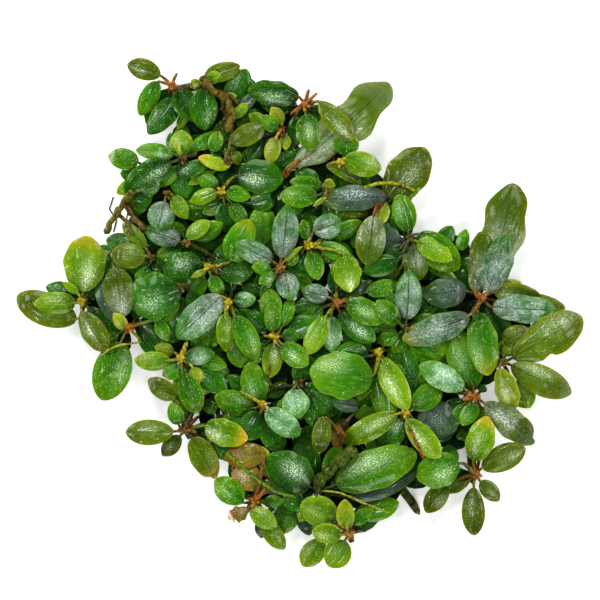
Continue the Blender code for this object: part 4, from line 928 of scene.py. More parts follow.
def shade_leaves():
    """More leaves for each rosette, over the holes that the known leaves leave."""
    cells = PICTURE_PX // SPOT
    cover = np.zeros((cells, cells), dtype=bool)
    for name, (_, leaves) in ROSETTES.items():
        for line in [*leaves, *MORE_LEAVES.get(name, []), understory(name)]:
            cover[covered_spots(*line[:5])] = True
    inside = cells_inside(CLOSED_OUTLINE)
    crowns = {name: np.array(pixel, float) for name, (pixel, _) in ROSETTES.items()}
    draw = np.random.default_rng(SHADE_SEED)
    more = {name: [] for name in ROSETTES}
    half = HOLE // SPOT
    for _ in range(MOST_SHADE_LEAVES):
        holes = box_sum(inside & ~cover, half)
        row, column = np.unravel_index(np.argmax(holes), holes.shape)
        if holes[row, column] < LEAST_HOLE * (2 * half + 1) ** 2:
            break
        centre = np.array((column, row), float) * SPOT
        name = min(crowns, key=lambda crown: np.linalg.norm(crowns[crown] - centre))
        way = centre - crowns[name]
        best, best_gain = None, -math.inf
        for turn in SHADE_TURNS:
            heading = math.atan2(way[1], way[0]) + turn
            ahead = np.array((math.cos(heading), math.sin(heading)))
            length, width = np.array(SHADE_LEAF) * draw.uniform(*SHADE_SIZES)
            base = centre - ahead * min(length / 2, max(np.linalg.norm(way) - SHADE_BASE, 0.0))
            line = (*base, *(base + ahead * length), width)
            rows, columns = covered_spots(*line)
            open_spots = ~cover[rows, columns]
            fresh, outside = [(open_spots & side[rows, columns]).mean() for side in (inside, ~inside)]
            gain = fresh - OUTSIDE_COST * outside
            if gain > best_gain:
                best, best_gain = line, gain
        cover[covered_spots(*best)] = True
        cover[row - 1:row + 2, column - 1:column + 2] = True
        if best_gain > 0:
            more[name].append((*best, SHADE_TONES[draw.integers(len(SHADE_TONES))], FLOOR))
        else:
            cover[row - half:row + half + 1, column - half:column + half + 1] = True
    return more


shaded = shade_leaves()
print("leaves in the shade:", sum(len(leaves) for leaves in shaded.values()))


# %% Lay the leaves
SLIM_THICKNESS, SLIM_GAP = 0.25 * MM, 0.02 * MM    # of the leaves that the solids leave out


def lay_out():
    """Settle every leaf on the pile, lowest storey first: (leaf, sections) by rosette."""
    stems = {name: Stem(name) for name in ROSETTES}
    pile = ground_pile(stems)
    laid = {name: [] for name in ROSETTES}
    for storey in (FLOOR, UNDER, LOW, MIDDLE, TOP):
        for owner, (name, (_, leaves)) in enumerate(ROSETTES.items()):
            lines = [*leaves, understory(name), *MORE_LEAVES.get(name, []), *shaded[name]]
            for index, line in enumerate(lines):
                leaf = Leaf(*line)
                leaf.look = LOOKS.get((name, index))
                packed = index <= len(leaves)
                if leaf.storey == storey:
                    sections = leaf_sections(index + owner, stems[name], leaf)
                    if not packed:
                        for section in sections:
                            section.thick = min(section.thick, SLIM_THICKNESS)
                    settle(pile, owner, stems[name], sections, GAP if packed else SLIM_GAP)
                    laid[name].append((leaf, sections))
    return stems, laid, pile.heights.max(axis=0)


stems, laid, relief_of_pile = lay_out()
highest = max(section.height for leaves in laid.values() for _, sections in leaves for section in sections)
print("highest leaf in mm:", round(highest / MM, 2))

# %% [markdown]
# ## The blade that every leaf is a copy of
#
# A blade of this plant is oval with blunt ends and a tiny point at its tip. It is leathery and
# about a third of a millimetre thick. All blades have the same plan, so it is modelled once by a
# function and copied: finely for blades with a shape of their own, and coarsely for those in the
# shade. It starts as a grid. Each row of the grid is narrowed to the oval outline, and the rows
# are pushed towards the ends, where the outline bends most. The Solidify modifier gives the
# thickness.

# %% Model the blade
BLADE_ACROSS, BLADE_ALONG = 8, 12  # faces
FINE_ACROSS, FINE_ALONG = 10, 26   # faces of a blade with a shape of its own
PLAIN_ACROSS, PLAIN_ALONG = 4, 7   # faces of a blade that is hardly seen
OUTLINE_FULLNESS = 0.44            # below 1 a blade stays broad further towards its ends
POINT_WIDTH = 0.06                # a blade's width at its very ends, over its greatest


def select_only(piece):
    bpy.ops.object.select_all(action="DESELECT")
    piece.select_set(True)
    bpy.context.view_layer.objects.active = piece


def outline(share):
    """A blade's width over its greatest, at a share of the way from base to tip."""
    return np.maximum(np.sin(np.pi * np.clip(share, 0, 1)) ** OUTLINE_FULLNESS, POINT_WIDTH)


def model_blade(name, across, along):
    """A flat blade from y = 0 to y = 1, two wide, with its skins at z = -1 and z = 1."""
    bpy.ops.object.select_all(action="DESELECT")
    bpy.ops.mesh.primitive_grid_add(x_subdivisions=across, y_subdivisions=along, size=2)
    blade = bpy.context.object
    blade.name = name
    rows = [[] for _ in range(along + 1)]
    for vertex in blade.data.vertices:
        rows[round((vertex.co.y + 1) / 2 * along)].append(vertex.index)
    bpy.ops.object.mode_set(mode="EDIT")
    for row, indices in enumerate(rows):
        share = (1 - math.cos(math.pi * row / along)) / 2
        old = -1 + 2 * row / along
        bpy.ops.mesh.select_all(action="DESELECT")
        bm = bmesh.from_edit_mesh(blade.data)
        bm.verts.ensure_lookup_table()
        for index in indices:
            bm.verts[index].select_set(True)
        bm.select_flush(True)
        bmesh.update_edit_mesh(blade.data)
        bpy.ops.transform.resize(value=(float(outline(share)), 1, 1), center_override=(0, old, 0))
        bpy.ops.transform.translate(value=(0, share - old, 0))
    bpy.ops.object.mode_set(mode="OBJECT")
    skins = blade.modifiers.new("skins", "SOLIDIFY")
    skins.thickness = 2.0
    skins.offset = 0.0
    skins.use_even_offset = False
    select_only(blade)
    bpy.ops.object.modifier_apply(modifier=skins.name)
    bpy.ops.object.shade_smooth_by_angle(angle=math.radians(60))
    return blade


blade_model = model_blade("blade", BLADE_ACROSS, BLADE_ALONG)
fine_model = model_blade("fine_blade", FINE_ACROSS, FINE_ALONG)
plain_model = model_blade("plain_blade", PLAIN_ACROSS, PLAIN_ALONG)
print("faces of a blade:", [len(model.data.polygons) for model in (blade_model, fine_model, plain_model)])

# %% [markdown]
# ## The tube that stalks, stems, roots and rhizomes are copies of
#
# Stalks, stems and roots are all round and taper along a curved line. A circle is extruded ring
# by ring into a straight tube, and each copy is later bent along its own line.

# %% Model the tube
def model_tube(name, sides, rings):
    """A closed round tube of radius 1 from z = 0 to z = 1."""
    bpy.ops.object.select_all(action="DESELECT")
    bpy.ops.mesh.primitive_circle_add(vertices=sides, radius=1, fill_type="NGON")
    tube = bpy.context.object
    tube.name = name
    bpy.ops.object.mode_set(mode="EDIT")
    bpy.ops.mesh.select_all(action="SELECT")
    for _ in range(rings):
        bpy.ops.mesh.extrude_region_move(TRANSFORM_OT_translate={"value": (0, 0, 1 / rings)})
    bpy.ops.mesh.select_all(action="SELECT")
    bpy.ops.mesh.normals_make_consistent(inside=False)
    bpy.ops.object.mode_set(mode="OBJECT")
    bpy.ops.object.shade_smooth_by_angle(angle=math.radians(60))
    return tube


stalk_model = model_tube("stalk", 6, 7)
stem_model = model_tube("stem", 9, 14)
print("faces of a stalk:", len(stalk_model.data.polygons), "of a stem:", len(stem_model.data.polygons))

# %% [markdown]
# ## Bending a copy into its place
#
# A copy of the blade is laid over the leaf's sections. The midrib follows a smooth curve through
# the sections' heights, and each half of the blade bulges a little like a long pillow, which is
# what makes a long glint beside the midrib. The edges droop or rise, and they wave. How much
# differs from leaf to leaf, and is drawn from a random generator with a fixed seed. What a blade's
# look names, such as waves or a notch, is added to that.

# %% Helpers for curves and copies
def smooth(knots, values, at):
    """A smooth curve through the values at the knots, which doesn't overshoot between them."""
    knots, values = np.array(knots, float), np.array(values, float)
    gaps = np.diff(knots)
    slopes = np.diff(values) / gaps
    steepness = np.empty(len(knots))
    steepness[0], steepness[-1] = slopes[0], slopes[-1]
    product = slopes[:-1] * slopes[1:]
    total = slopes[:-1] + slopes[1:]
    rises = product > 0
    steepness[1:-1] = np.where(rises, 2 * product / np.where(rises, total, 1.0), 0.0)
    piece = np.clip(np.searchsorted(knots, at, side="right") - 1, 0, len(gaps) - 1)
    t = np.clip((at - knots[piece]) / gaps[piece], 0, 1)
    start, end = values[piece], values[piece + 1]
    leave, arrive = steepness[piece] * gaps[piece], steepness[piece + 1] * gaps[piece]
    return (start * (2 * t**3 - 3 * t**2 + 1) + leave * (t**3 - 2 * t**2 + t)
            + end * (3 * t**2 - 2 * t**3) + arrive * (t**3 - t**2))


def corners(piece):
    """A piece's vertices as rows of x, y, z."""
    spots = np.empty(len(piece.data.vertices) * 3)
    piece.data.vertices.foreach_get("co", spots)
    return spots.reshape(-1, 3)


def copy_of(model, name, spots, finish):
    """A copy of a model with a mesh of its own, its vertices moved to the spots."""
    made = model.copy()
    made.data = model.data.copy()
    made.name = made.data.name = name
    made.data.vertices.foreach_set("co", np.ascontiguousarray(spots).ravel())
    made.data.materials.clear()
    made.data.materials.append(finish)
    bpy.context.scene.collection.objects.link(made)
    made.data.update()
    return made


def mark(piece, name, kind, values):
    """Store a value for each vertex, for the finish to read."""
    field = {"FLOAT": "value", "FLOAT_VECTOR": "vector", "FLOAT_COLOR": "color"}[kind]
    layer = piece.data.attributes.new(name, kind, "POINT")
    layer.data.foreach_set(field, np.ascontiguousarray(values, dtype=np.float32).ravel())


def map_blade(piece, across, along):
    """Give the piece a UV map: 0 to 1 across the blade and 0 to 1 from base to tip."""
    loops = np.empty(len(piece.data.loops), dtype=np.int32)
    piece.data.loops.foreach_get("vertex_index", loops)
    for layer in list(piece.data.uv_layers):
        piece.data.uv_layers.remove(layer)
    layer = piece.data.uv_layers.new(name="blade")
    layer.data.foreach_set("uv", np.stack([across[loops], along[loops]], axis=1).ravel())


# %% Bend a blade
BLADE_THICKNESS = 0.32 * MM
EDGE_THINNING = 0.65               # how much thinner a blade is at its edge
PILLOW = 0.10                      # how high each half bulges, per half width
MOST_DROOP, LEAST_DROOP = 0.20, -0.10
MOST_WAVE = 0.10                   # of the edges, per half width
POINT_LENGTH, POINT_SHARE = 0.35 * MM, 0.03    # of the tiny point at the tip
MOST_BEND = 0.03                   # sideways, per length
WAVES_ALONG = (1.2, 2.6)           # waves along an edge
LEAST_WAVE = 0.3                   # share of MOST_WAVE
LAST_START = -0.05                 # where a stalk that has no section of its own starts at the latest
NUMBER_STEP = 7.3                  # keeps the patterns of two leaves apart
FULLEST = (0.86, 1.12)             # above 1 a blade is widest nearer its tip
EDGE_WAVES = 2.6                   # waves along a wavy outline
EDGE_PHASE = 2.4                   # between the waves of the two outlines
NOTCH_LENGTH = 0.045               # of the blade's length
# A pale patch is painted sheen, a painted highlight; leaves in the lower storeys, in shade, get less of it.
SHEEN_SIDES, SHEEN_PLACES, DRAWN_SHEEN = (0.15, 0.5), (0.25, 0.75), (0.0, 0.75)    # when they are drawn
GOLD_START, GOLD_LENGTH = 0.70, 0.28           # along the blade
SHEEN_SPREAD = (0.34, 0.24)        # of a pale patch, across the half blade and along it
SHEEN_STRENGTH = {TOP: 1.0, MIDDLE: 0.8, LOW: 0.55, UNDER: 0.15, FLOOR: 0.15}


def half_width(leaf, look, shift, share, facing):
    """How far the edge is from the midrib on each side; facing is -1 left of it and 1 right."""
    half = leaf.half * outline(share**shift)
    phase = np.where(facing > 0, 0.0, EDGE_PHASE) + leaf.length / MM
    half = half * (1 + look.waves * np.sin(math.tau * EDGE_WAVES * share + phase))
    if look.notch:
        side, spot, depth = look.notch
        half = half * (1 - depth * np.exp(-((share - spot) / NOTCH_LENGTH) ** 2) * (facing == side))
    return half


def look_values(leaf, look, draw, share, across):
    """For the finish: how light the leaf is, its pale patch of painted sheen and its golden tip at each
    vertex.
    """
    drawn = (draw.choice((-1, 1)) * draw.uniform(*SHEEN_SIDES), draw.uniform(*SHEEN_PLACES),
             draw.uniform(*DRAWN_SHEEN))
    side, spot, strength = look.painted_sheen or drawn
    spread = np.exp(-((across - side) / SHEEN_SPREAD[0]) ** 2 - ((share - spot) / SHEEN_SPREAD[1]) ** 2)
    strength *= SHEEN_STRENGTH[leaf.storey]
    golden = np.clip((share - GOLD_START) / GOLD_LENGTH, 0, 1)
    light = np.full(len(share), draw.uniform(-1, 1))
    return np.column_stack([light, strength * spread, look.gold * golden**2 * (3 - 2 * golden)])


def knots_along(leaf, sections):
    """Where a leaf's sections are, as shares of the way from its base to its tip."""
    blade = leaf.tip - leaf.base
    knots = [(section.place - leaf.base).dot(blade) / leaf.length**2 for section in sections]
    if sections[1].fans:
        knots[0] = min(knots[0], LAST_START)
    return knots


def rounded(share, start, length):
    """A tube's radius over its greatest where it closes to a round end from start on."""
    return np.sqrt(np.clip(1 - np.clip((share - start) / length, 0, 1) ** 2, 0.02, 1))


def bent_blade(model, name, leaf, sections, number, finish):
    """A copy of the blade, laid over a leaf's sections."""
    draw = np.random.default_rng(number)
    look = leaf.look or Look()
    flat = corners(model)
    share, face = flat[:, 1], np.sign(flat[:, 2])
    across = np.clip(flat[:, 0] / outline(share), -1, 1)
    shift = look.fullest or draw.uniform(*FULLEST)
    half = half_width(leaf, look, shift, share, np.sign(across))

    base, tip = np.array(leaf.base), np.array(leaf.tip)
    blade = tip - base
    sideways = np.array((blade[1], -blade[0])) / leaf.length
    bend = leaf.bow + leaf.length * draw.uniform(-MOST_BEND, MOST_BEND)
    middle = base + np.outer(share, blade) + np.outer(bend * 4 * share * (1 - share), sideways)
    along = blade + np.outer(bend * 4 * (1 - 2 * share), sideways)
    along /= np.linalg.norm(along, axis=1)[:, None]
    right = np.stack([along[:, 1], -along[:, 0]], axis=1)
    middle += along * (POINT_LENGTH * np.clip((share - 1) / POINT_SHARE + 1, 0, 1))[:, None]

    height = smooth(knots_along(leaf, sections), [section.height for section in sections], share)
    sway = next(section.sway for section in sections if section.fans)
    side = across * half
    droop, wave = draw.uniform(LEAST_DROOP, MOST_DROOP), draw.uniform(LEAST_WAVE, 1.0) * MOST_WAVE
    phases, waves = draw.uniform(0, math.tau, 2), draw.uniform(*WAVES_ALONG)
    phase = np.where(across > 0, phases[0], phases[1])
    bulge = PILLOW * np.sin(np.pi * np.abs(across)) - droop * across**2 + look.fold * np.abs(across)
    ripple = (wave + look.waves) * across**2 * np.sin(math.tau * waves * share + phase)
    rise = sway * side + (bulge + ripple) * half
    thick = face * BLADE_THICKNESS / 2 * (1 - EDGE_THINNING * np.abs(across) ** 3)

    spots = np.column_stack([middle + right * side[:, None], height + rise + thick])
    made = copy_of(model, name, spots, finish)
    map_blade(made, (across + 1) / 2, share)
    grown = np.column_stack([side / MM, share * leaf.length / MM, np.full(len(share), number * NUMBER_STEP)])
    mark(made, "grown", "FLOAT_VECTOR", grown)
    mark(made, "look", "FLOAT_VECTOR", look_values(leaf, look, draw, share, across))
    return made


# %% Bend a tube
NUDGE = 0.01                       # the share of a tube over which its direction is measured
UPRIGHT = 0.05                     # a tube that leans less counts as upright


def bent_tube(model, name, stops, radii, finish, number, blunt=0.0):
    """A copy of the tube along a smooth curve through the stops, with a radius at each stop.

    blunt is the share of its end over which it closes to a round point.
    """
    flat = corners(model)
    share = flat[:, 2]
    stops = np.array([tuple(stop) for stop in stops])
    way = np.concatenate([[0.0], np.cumsum(np.linalg.norm(np.diff(stops, axis=0), axis=1))])
    knots = way / way[-1]

    def line(at):
        return np.stack([smooth(knots, stops[:, axis], at) for axis in range(3)], axis=-1)

    along = line(np.minimum(share + NUDGE, 1)) - line(np.maximum(share - NUDGE, 0))
    along /= np.linalg.norm(along, axis=1)[:, None]
    right = np.cross(along, (0.0, 0.0, 1.0))
    steep = np.linalg.norm(right, axis=1) < UPRIGHT
    right[steep] = (1.0, 0.0, 0.0)
    right /= np.linalg.norm(right, axis=1)[:, None]
    up = np.cross(right, along)
    radius = smooth(knots, radii, share)
    if blunt:
        radius = radius * rounded(share, 1 - blunt, blunt)
    spots = line(share) + right * (flat[:, 0] * radius)[:, None] + up * (flat[:, 1] * radius)[:, None]
    made = copy_of(model, name, spots, finish)
    turn = np.arctan2(flat[:, 1], flat[:, 0]) / math.tau
    map_blade(made, turn % 1.0, share)
    size = np.full(len(share), number * NUMBER_STEP)
    mark(made, "grown", "FLOAT_VECTOR", np.column_stack([turn * 3, share * way[-1] / MM, size]))
    return made

# %% [markdown]
# ## Finishes: the wiring helpers
#
# Every finish is a small network of nodes. A short helper adds nodes and links them, so that the
# cells below read like a recipe. Colours are named as they look on a screen, from 0 to 255.

# %% Wiring helpers
def screen(red, green, blue):
    """A colour as it looks on a screen, 0 to 255, in the linear values that Blender mixes."""
    parts = [part / 255 for part in (red, green, blue)]
    return (*[p / 12.92 if p <= 0.04045 else ((p + 0.055) / 1.055) ** 2.4 for p in parts], 1.0)


class Wiring:
    """A node tree, with short ways to add nodes and to link them."""

    def __init__(self, tree):
        self.tree = tree

    def feed(self, socket, value):
        if isinstance(value, bpy.types.NodeSocket):
            self.tree.links.new(value, socket)
        else:
            socket.default_value = value

    def add(self, kind, settings=None, **inputs):
        node = self.tree.nodes.new("ShaderNode" + kind)
        for name, value in (settings or {}).items():
            setattr(node, name, value)
        for name, value in inputs.items():
            self.feed(node.inputs[name.replace("_", " ")], value)
        return node

    def math(self, operation, *values):
        node = self.add("Math", {"operation": operation})
        for socket, value in zip(node.inputs, values):
            self.feed(socket, value)
        return node.outputs[0]

    def ease(self, value, low, high):
        """0 below low, 1 above high, and a soft step between."""
        settings = {"interpolation_type": "SMOOTHSTEP"}
        return self.add("MapRange", settings, Value=value, From_Min=low, From_Max=high).outputs[0]

    def mix(self, share, one, other, blend="MIX"):
        node = self.add("Mix", {"data_type": "RGBA", "blend_type": blend})
        self.feed(node.inputs[0], share)
        self.feed(node.inputs[6], one)
        self.feed(node.inputs[7], other)
        return node.outputs[2]

    def stretched(self, vector, x, y, z):
        node = self.add("VectorMath", {"operation": "MULTIPLY"})
        self.feed(node.inputs[0], vector)
        node.inputs[1].default_value = (x, y, z)
        return node.outputs[0]

    def noise(self, vector, scale=1.0, detail=2.0):
        return self.add("TexNoise", None, Vector=vector, Scale=scale, Detail=detail).outputs["Fac"]


def new_group(name, takes, gives):
    """A node group with named sockets, and its wiring, inputs and output node."""
    group = bpy.data.node_groups.new(name, "ShaderNodeTree")
    for socket, kind in takes.items():
        group.interface.new_socket(name=socket, in_out="INPUT", socket_type="NodeSocket" + kind)
    for socket, kind in gives.items():
        group.interface.new_socket(name=socket, in_out="OUTPUT", socket_type="NodeSocket" + kind)
    wires = Wiring(group)
    return group, wires, group.nodes.new("NodeGroupInput").outputs, group.nodes.new("NodeGroupOutput").inputs


# %% [markdown]
# ## The markings of a leaf
#
# All leaves share the same markings: a midrib, faint side veins, a pale rim, tiny pale specks,
# fine grains, and on many leaves streaks and cloudy patches of silver. The thin outer rim is the
# leaf's own pale margin, but its broad soft inner part is painted light shining through the thin
# edge. The specks are partly the leaf's own pale dots and partly painted glints, and the silver
# is partly its own colour and partly painted sheen. The markings are one node group that gives a
# mask for each of them. It reads where a spot is on its leaf: the blade's UV map for shares of its
# width and length, and the attribute "grown" for millimetres.

# %% Leaf markings
def leaf_markings():
    names = "Ragged", "Midrib", "Rim_and_edge_light", "Specks_and_glints", "Streaks", "Clouds", "Grains", "Mottle", "Relief"
    group, wires, takes, gives = new_group("leaf markings", {"Blade": "Vector", "Grown": "Vector"},
                                           dict.fromkeys(names, "Float"))
    blade = wires.add("SeparateXYZ", None, Vector=takes["Blade"]).outputs
    grown = wires.add("SeparateXYZ", None, Vector=takes["Grown"]).outputs
    along = blade["Y"]
    edge = wires.math("ABSOLUTE", wires.math("MULTIPLY_ADD", blade["X"], 2.0, -1.0))
    side = wires.math("ABSOLUTE", grown["X"])

    fading = wires.math("SUBTRACT", 1.0, wires.ease(along, 0.70, 1.0))
    narrow = wires.math("SUBTRACT", 1.0, wires.ease(side, 0.05, 0.26))
    midrib = wires.math("MULTIPLY", narrow, fading)
    tip = wires.ease(along, 0.95, 0.995)
    # the broad soft part of the rim is painted light shining through the thin edge; the thin outer rim is the
    # leaf's own pale margin
    painted_edge_light = wires.math("MULTIPLY", wires.ease(edge, 0.45, 1.0), 0.45)
    rim_and_edge_light = wires.math("MAXIMUM", wires.math("MULTIPLY_ADD", wires.ease(edge, 0.90, 0.98), 0.55, painted_edge_light), tip)

    slant = wires.math("MULTIPLY_ADD", side, -1.1, grown["Y"])
    waver = wires.math("MULTIPLY_ADD", wires.noise(takes["Grown"], 0.6), 1.2, slant)
    ribs = wires.math("SINE", wires.math("MULTIPLY", waver, 2.2))
    veins = wires.math("POWER", wires.math("ABSOLUTE", ribs), 6.0)

    # specks: partly the leaf's own pale dots, partly painted glints on its tiny bumps
    dots = wires.add("TexVoronoi", {"feature": "F1"}, Vector=wires.stretched(takes["Grown"], 1.45, 1.15, 1.0),
                     Scale=1.0, Randomness=0.8)
    lot = wires.add("SeparateXYZ", None, Vector=dots.outputs["Color"]).outputs["X"]
    chosen = wires.math("GREATER_THAN", lot, 0.3)
    round_dots = wires.math("SUBTRACT", 1.0, wires.ease(dots.outputs["Distance"], 0.11, 0.25))
    specks_and_glints = wires.math("MULTIPLY", round_dots, chosen)

    long_noise = wires.noise(wires.stretched(takes["Grown"], 1.7, 0.30, 1.0), 1.0, 3.0)
    streaks = wires.ease(long_noise, 0.48, 0.66)
    clouds = wires.ease(wires.noise(takes["Grown"], 0.30, 2.0), 0.38, 0.62)
    ragged = wires.math("MULTIPLY_ADD", long_noise, 0.5, wires.math("SUBTRACT", along, 0.25))
    grain = wires.noise(wires.stretched(takes["Grown"], 3.2, 2.3, 1.0), 1.0, 2.0)
    grains = wires.ease(grain, 0.50, 0.60)
    mottle = wires.noise(takes["Grown"], 0.75, 2.0)

    lumps = wires.noise(wires.stretched(takes["Grown"], 0.55, 0.30, 1.0), 1.0, 2.0)
    relief = wires.math("MULTIPLY_ADD", midrib, -0.40, lumps)
    relief = wires.math("MULTIPLY_ADD", veins, -0.08, relief)
    relief = wires.math("MULTIPLY_ADD", specks_and_glints, 0.12, relief)
    relief = wires.math("MULTIPLY_ADD", grain, 0.40, relief)
    for name, value in zip(names, (ragged, midrib, rim_and_edge_light, specks_and_glints, streaks, clouds, grains, mottle, relief)):
        wires.feed(gives[name], value)
    return group


leaf_marks = leaf_markings()
print("markings:", [socket.name for socket in leaf_marks.interface.items_tree])

# %% [markdown]
# ## The tones of leaf
#
# Young leaves are yellow-green, grown ones deep green, and leaves in strong light turn olive.
# Many have a silvery bloom, strongest near the base and broken by the dark midrib; it is partly
# their own colour and partly painted sheen. Old leaves turn brown, and the tone SHADE is painted
# shade for leaves deep in the clump. All tones are the same finish with other colours, so one
# function makes them. It reads the attribute "look" for what differs from blade to blade: how
# light it is, its pale patch of painted sheen and its golden tip. The leaves are wet, so a clear
# smooth coat lies over the skin.

# %% Leaf finishes
@dataclass
class Tone:
    """The colours of a leaf, as they look on a screen, and how strong its markings are."""
    base: tuple
    body: tuple
    tip: tuple
    # the silvery bloom, partly the leaf's own colour and partly painted sheen
    bloom_and_sheen: tuple                   # of the streaks and clouds
    midrib: tuple
    rim_and_edge_light: tuple
    streaks: float
    clouds: float
    specks_and_glints: float
    ribbing: float                 # how strong the midrib's colour is
    reach: float                   # how far the bloom reaches along the blade


TONES = {
    # SHADE is painted shade: a leaf darkened to stand for the shadow deep between the others
    SHADE: Tone((14, 26, 8), (16, 40, 8), (22, 50, 10), (60, 90, 50), (6, 18, 6), (44, 74, 20),
                0.10, 0.05, 0.25, 0.5, 1.0),
    DEEP: Tone((24, 58, 12), (28, 80, 12), (46, 96, 12), (136, 184, 96), (12, 44, 8), (78, 126, 22),
               0.10, 0.06, 0.65, 0.4, 1.0),
    GREEN: Tone((40, 84, 8), (48, 106, 8), (76, 120, 8), (172, 210, 104), (24, 76, 8), (112, 154, 24),
                0.18, 0.08, 0.75, 0.3, 1.0),
    FRESH: Tone((68, 106, 8), (82, 126, 8), (104, 138, 8), (200, 218, 112), (56, 100, 8), (154, 172, 34),
                0.18, 0.10, 0.75, 0.3, 1.0),
    LIME: Tone((100, 124, 8), (112, 138, 8), (132, 146, 12), (214, 222, 130), (92, 120, 14), (180, 182, 60),
               0.18, 0.12, 0.45, 0.3, 1.0),
    OLIVE: Tone((66, 88, 8), (72, 96, 6), (68, 84, 4), (170, 190, 110), (46, 62, 8), (136, 140, 30),
                0.18, 0.12, 0.65, 0.45, 1.0),
    SILVER: Tone((78, 92, 74), (66, 100, 64), (58, 104, 34), (196, 210, 200), (20, 42, 20), (70, 118, 34),
                 0.50, 0.50, 0.35, 0.8, 0.90),
    MINT: Tone((50, 100, 40), (76, 124, 72), (66, 120, 40), (190, 220, 186), (40, 84, 34), (110, 148, 44),
               0.30, 0.60, 0.50, 0.4, 0.85),
    MIXED: Tone((84, 96, 66), (82, 102, 40), (66, 88, 6), (176, 188, 166), (34, 46, 16), (110, 122, 26),
                0.50, 0.65, 0.40, 0.7, 0.60),
    SLATE: Tone((56, 66, 58), (50, 70, 52), (44, 76, 30), (124, 140, 132), (22, 34, 24), (74, 104, 44),
                0.30, 0.30, 0.40, 0.6, 1.0),
    BROWN: Tone((88, 80, 12), (96, 90, 12), (112, 76, 18), (180, 160, 100), (60, 46, 8), (140, 104, 34),
                0.30, 0.35, 0.40, 0.5, 1.0),
}
LEAF_ROUGHNESS, LEAF_IOR, LEAF_SHINE = 0.22, 1.40, 0.13
FILM_WEIGHT, FILM_ROUGHNESS, FILM_IOR = 0.4, 0.06, 1.33    # of the water on a leaf
BARK_SHINE, BARK_FILM_WEIGHT, BARK_FILM_ROUGHNESS = 0.15, 0.5, 0.10
RELIEF_HEIGHT = 0.16 * MM
PAINTED_GLINT = (236, 246, 240)            # white grains of painted highlight in the pale patch of painted sheen
GOLD = (186, 150, 34)
LIGHT_SPREAD = 0.24                # how much lighter or darker one leaf is than another
MOTTLING, DARKEST = 0.8, 0.6       # how much a leaf varies, and its darkest places, over its colour
RIM_AND_EDGE_LIGHT_STRENGTH = 0.6
# how strongly the pale patch of painted sheen tints a leaf, and how white its painted glints in the grains
# are
SHEEN_TINT, GRAIN_GLINT, MOST_GLINT = 0.35, 0.65, 0.85
GRAIN_POLISH = 0.12                # how much smoother the grains are


